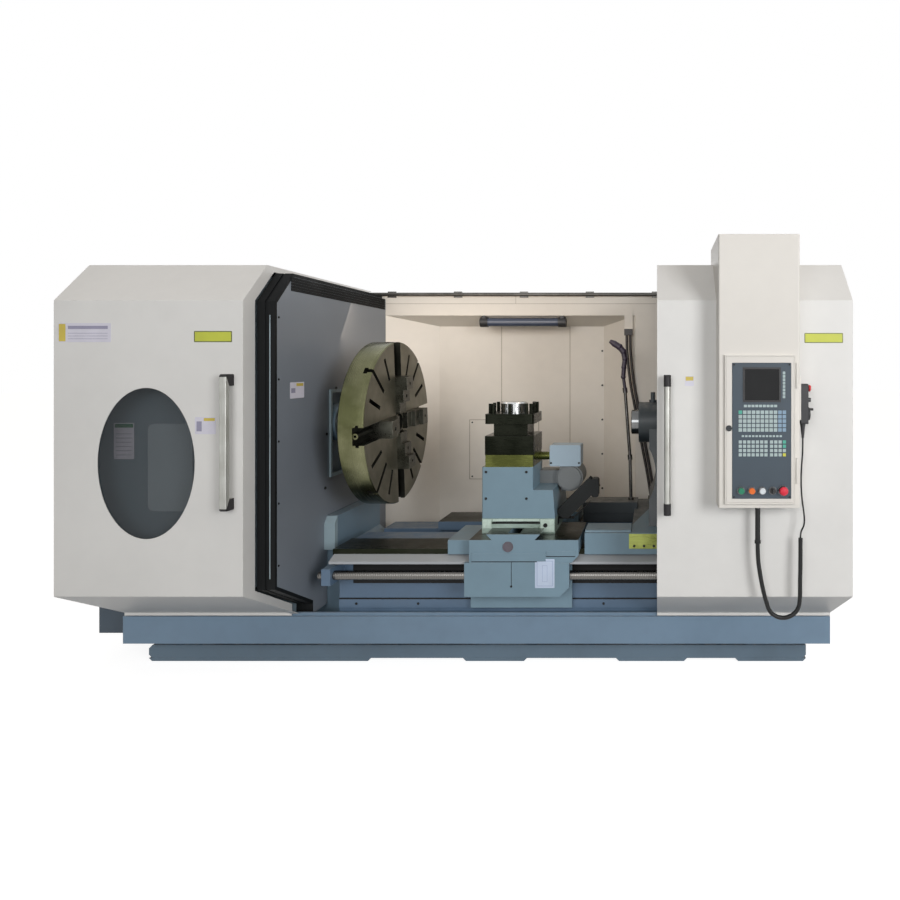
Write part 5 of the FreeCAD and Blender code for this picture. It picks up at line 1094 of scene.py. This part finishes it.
base_from = post_top - hair
dress("turret_post", post_paint, turret_base_steel, pick=lambda middle, normal: middle.z > base_from)
dress("turret_motor", motor_grey, terminal_grey, pick=lambda middle, normal: middle.z > motor_box_low)
dress("turret_head", turret_black, cap_steel, pick=head_face)
post_front = -0.330
post_screws = [(x, post_front, z) for x in (0.176, 0.408) for z in (0.983, 1.136)]
cap_screws("post_screws", post_screws, radius=0.0075, body="cross_slide")
gib_steel = oiled(
    "scraped gib", (198, 216, 206), (150, 168, 152), oiliness=0.4, rough=0.4,
    lay=(10, 10, 10), radius=0.001, worn=paint(226, 232, 226), wear=0.8, Metallic=0.3,
)
gibs = bmesh.new()
gib_thick = 0.004
strip(gibs, (0.156, 0.208), post_front, gib_thick, (0.812, 0.864))
strip(gibs, (0.488, 0.568), post_front, gib_thick, (0.792, 0.864))
strip(gibs, (0.214, 0.482), post_front, 0.003, (0.852, 0.864))
solid("cross_slide_gibs", gibs, [gib_steel], "cross_slide", 0.003)
groove = bmesh.new()
strip(groove, (0.209, 0.487), post_front, 0.0012, (0.838, 0.849))
solid("cross_slide_groove", groove, [shade_and_joint_black], "cross_slide", 0.0005)
cap_screws("slide_screw", [(0.518, post_front - gib_thick, 0.831)], radius=0.012, body="cross_slide")
box_screws = [(x, -0.170, 1.163) for x in (0.523, 0.690)]
cap_screws("terminal_screws", box_screws, radius=0.006, body="cross_slide")
chain_plastic = mould("chain link", (26, 29, 29), rough=0.5, Specular_IOR_Level=0.2)
dress("cable_chain", chain_plastic)


# ---------- tailstock
# The tailstock body is an enamelled casting on machined feet, with a scraped strip screwed to the front
# one. A steel quill slides in its barrel, and a coolant pipe with a jointed nozzle stands beside it.
# The body's enamel is darkened as painted shade behind the right hood; the front of its foot keeps the
# apron enamel.
tail_painted_shade = sprayed(
    "tailstock enamel with painted shade", (50, 58, 62), peel=1.0, dust=0.3, radius=0.004, worn=paint(130, 138, 142),
    wear=0.4,
)
quill_steel = oiled(
    "ground quill", (120, 121, 122), (60, 60, 56), oiliness=0.4, rough=0.14, lay=(60, 3, 3),
    radius=0.0015, grain=0.0001, Metallic=1.0,
)
foot_top = 0.815
dress(
    "tailstock_body", tail_painted_shade, apron_paint,
    pick=lambda middle, normal: middle.z < foot_top and middle.y < 0,
)
foot_front = -0.402
foot_strip = bmesh.new()
strip_thick = 0.004
strip(foot_strip, (1.000, 1.500), foot_front, strip_thick, (0.716, 0.800))
foot_steel = oiled(
    "scraped foot strip", (150, 158, 84), (88, 94, 34), oiliness=0.7, rough=0.34,
    lay=(2, 30, 30), radius=0.001, Metallic=0.7,
)
solid("tail_foot_strip", foot_strip, [foot_steel], "tailstock", 0.0015)
foot_screws = [(1.030 + 0.055 * n, foot_front - strip_thick, 0.732) for n in range(9)]
cap_screws("tail_foot_screws", foot_screws, radius=0.007, body="tailstock")
dress_all(quill=quill_steel, tail_handwheel=cast_iron)
pipe_skin = mould("coolant pipe", (58, 48, 66), grains=400, rough=0.4)
pipe_steel = oiled(
    "coolant stand pipe", (112, 110, 108), (60, 58, 56), lay=(30, 30, 2), radius=0.001,
    grain=0.0001, Metallic=0.9,
)
pipe_top = 1.585
dress("coolant_pipe", pipe_skin, pipe_steel, pick=lambda middle, normal: middle.z < pipe_top)
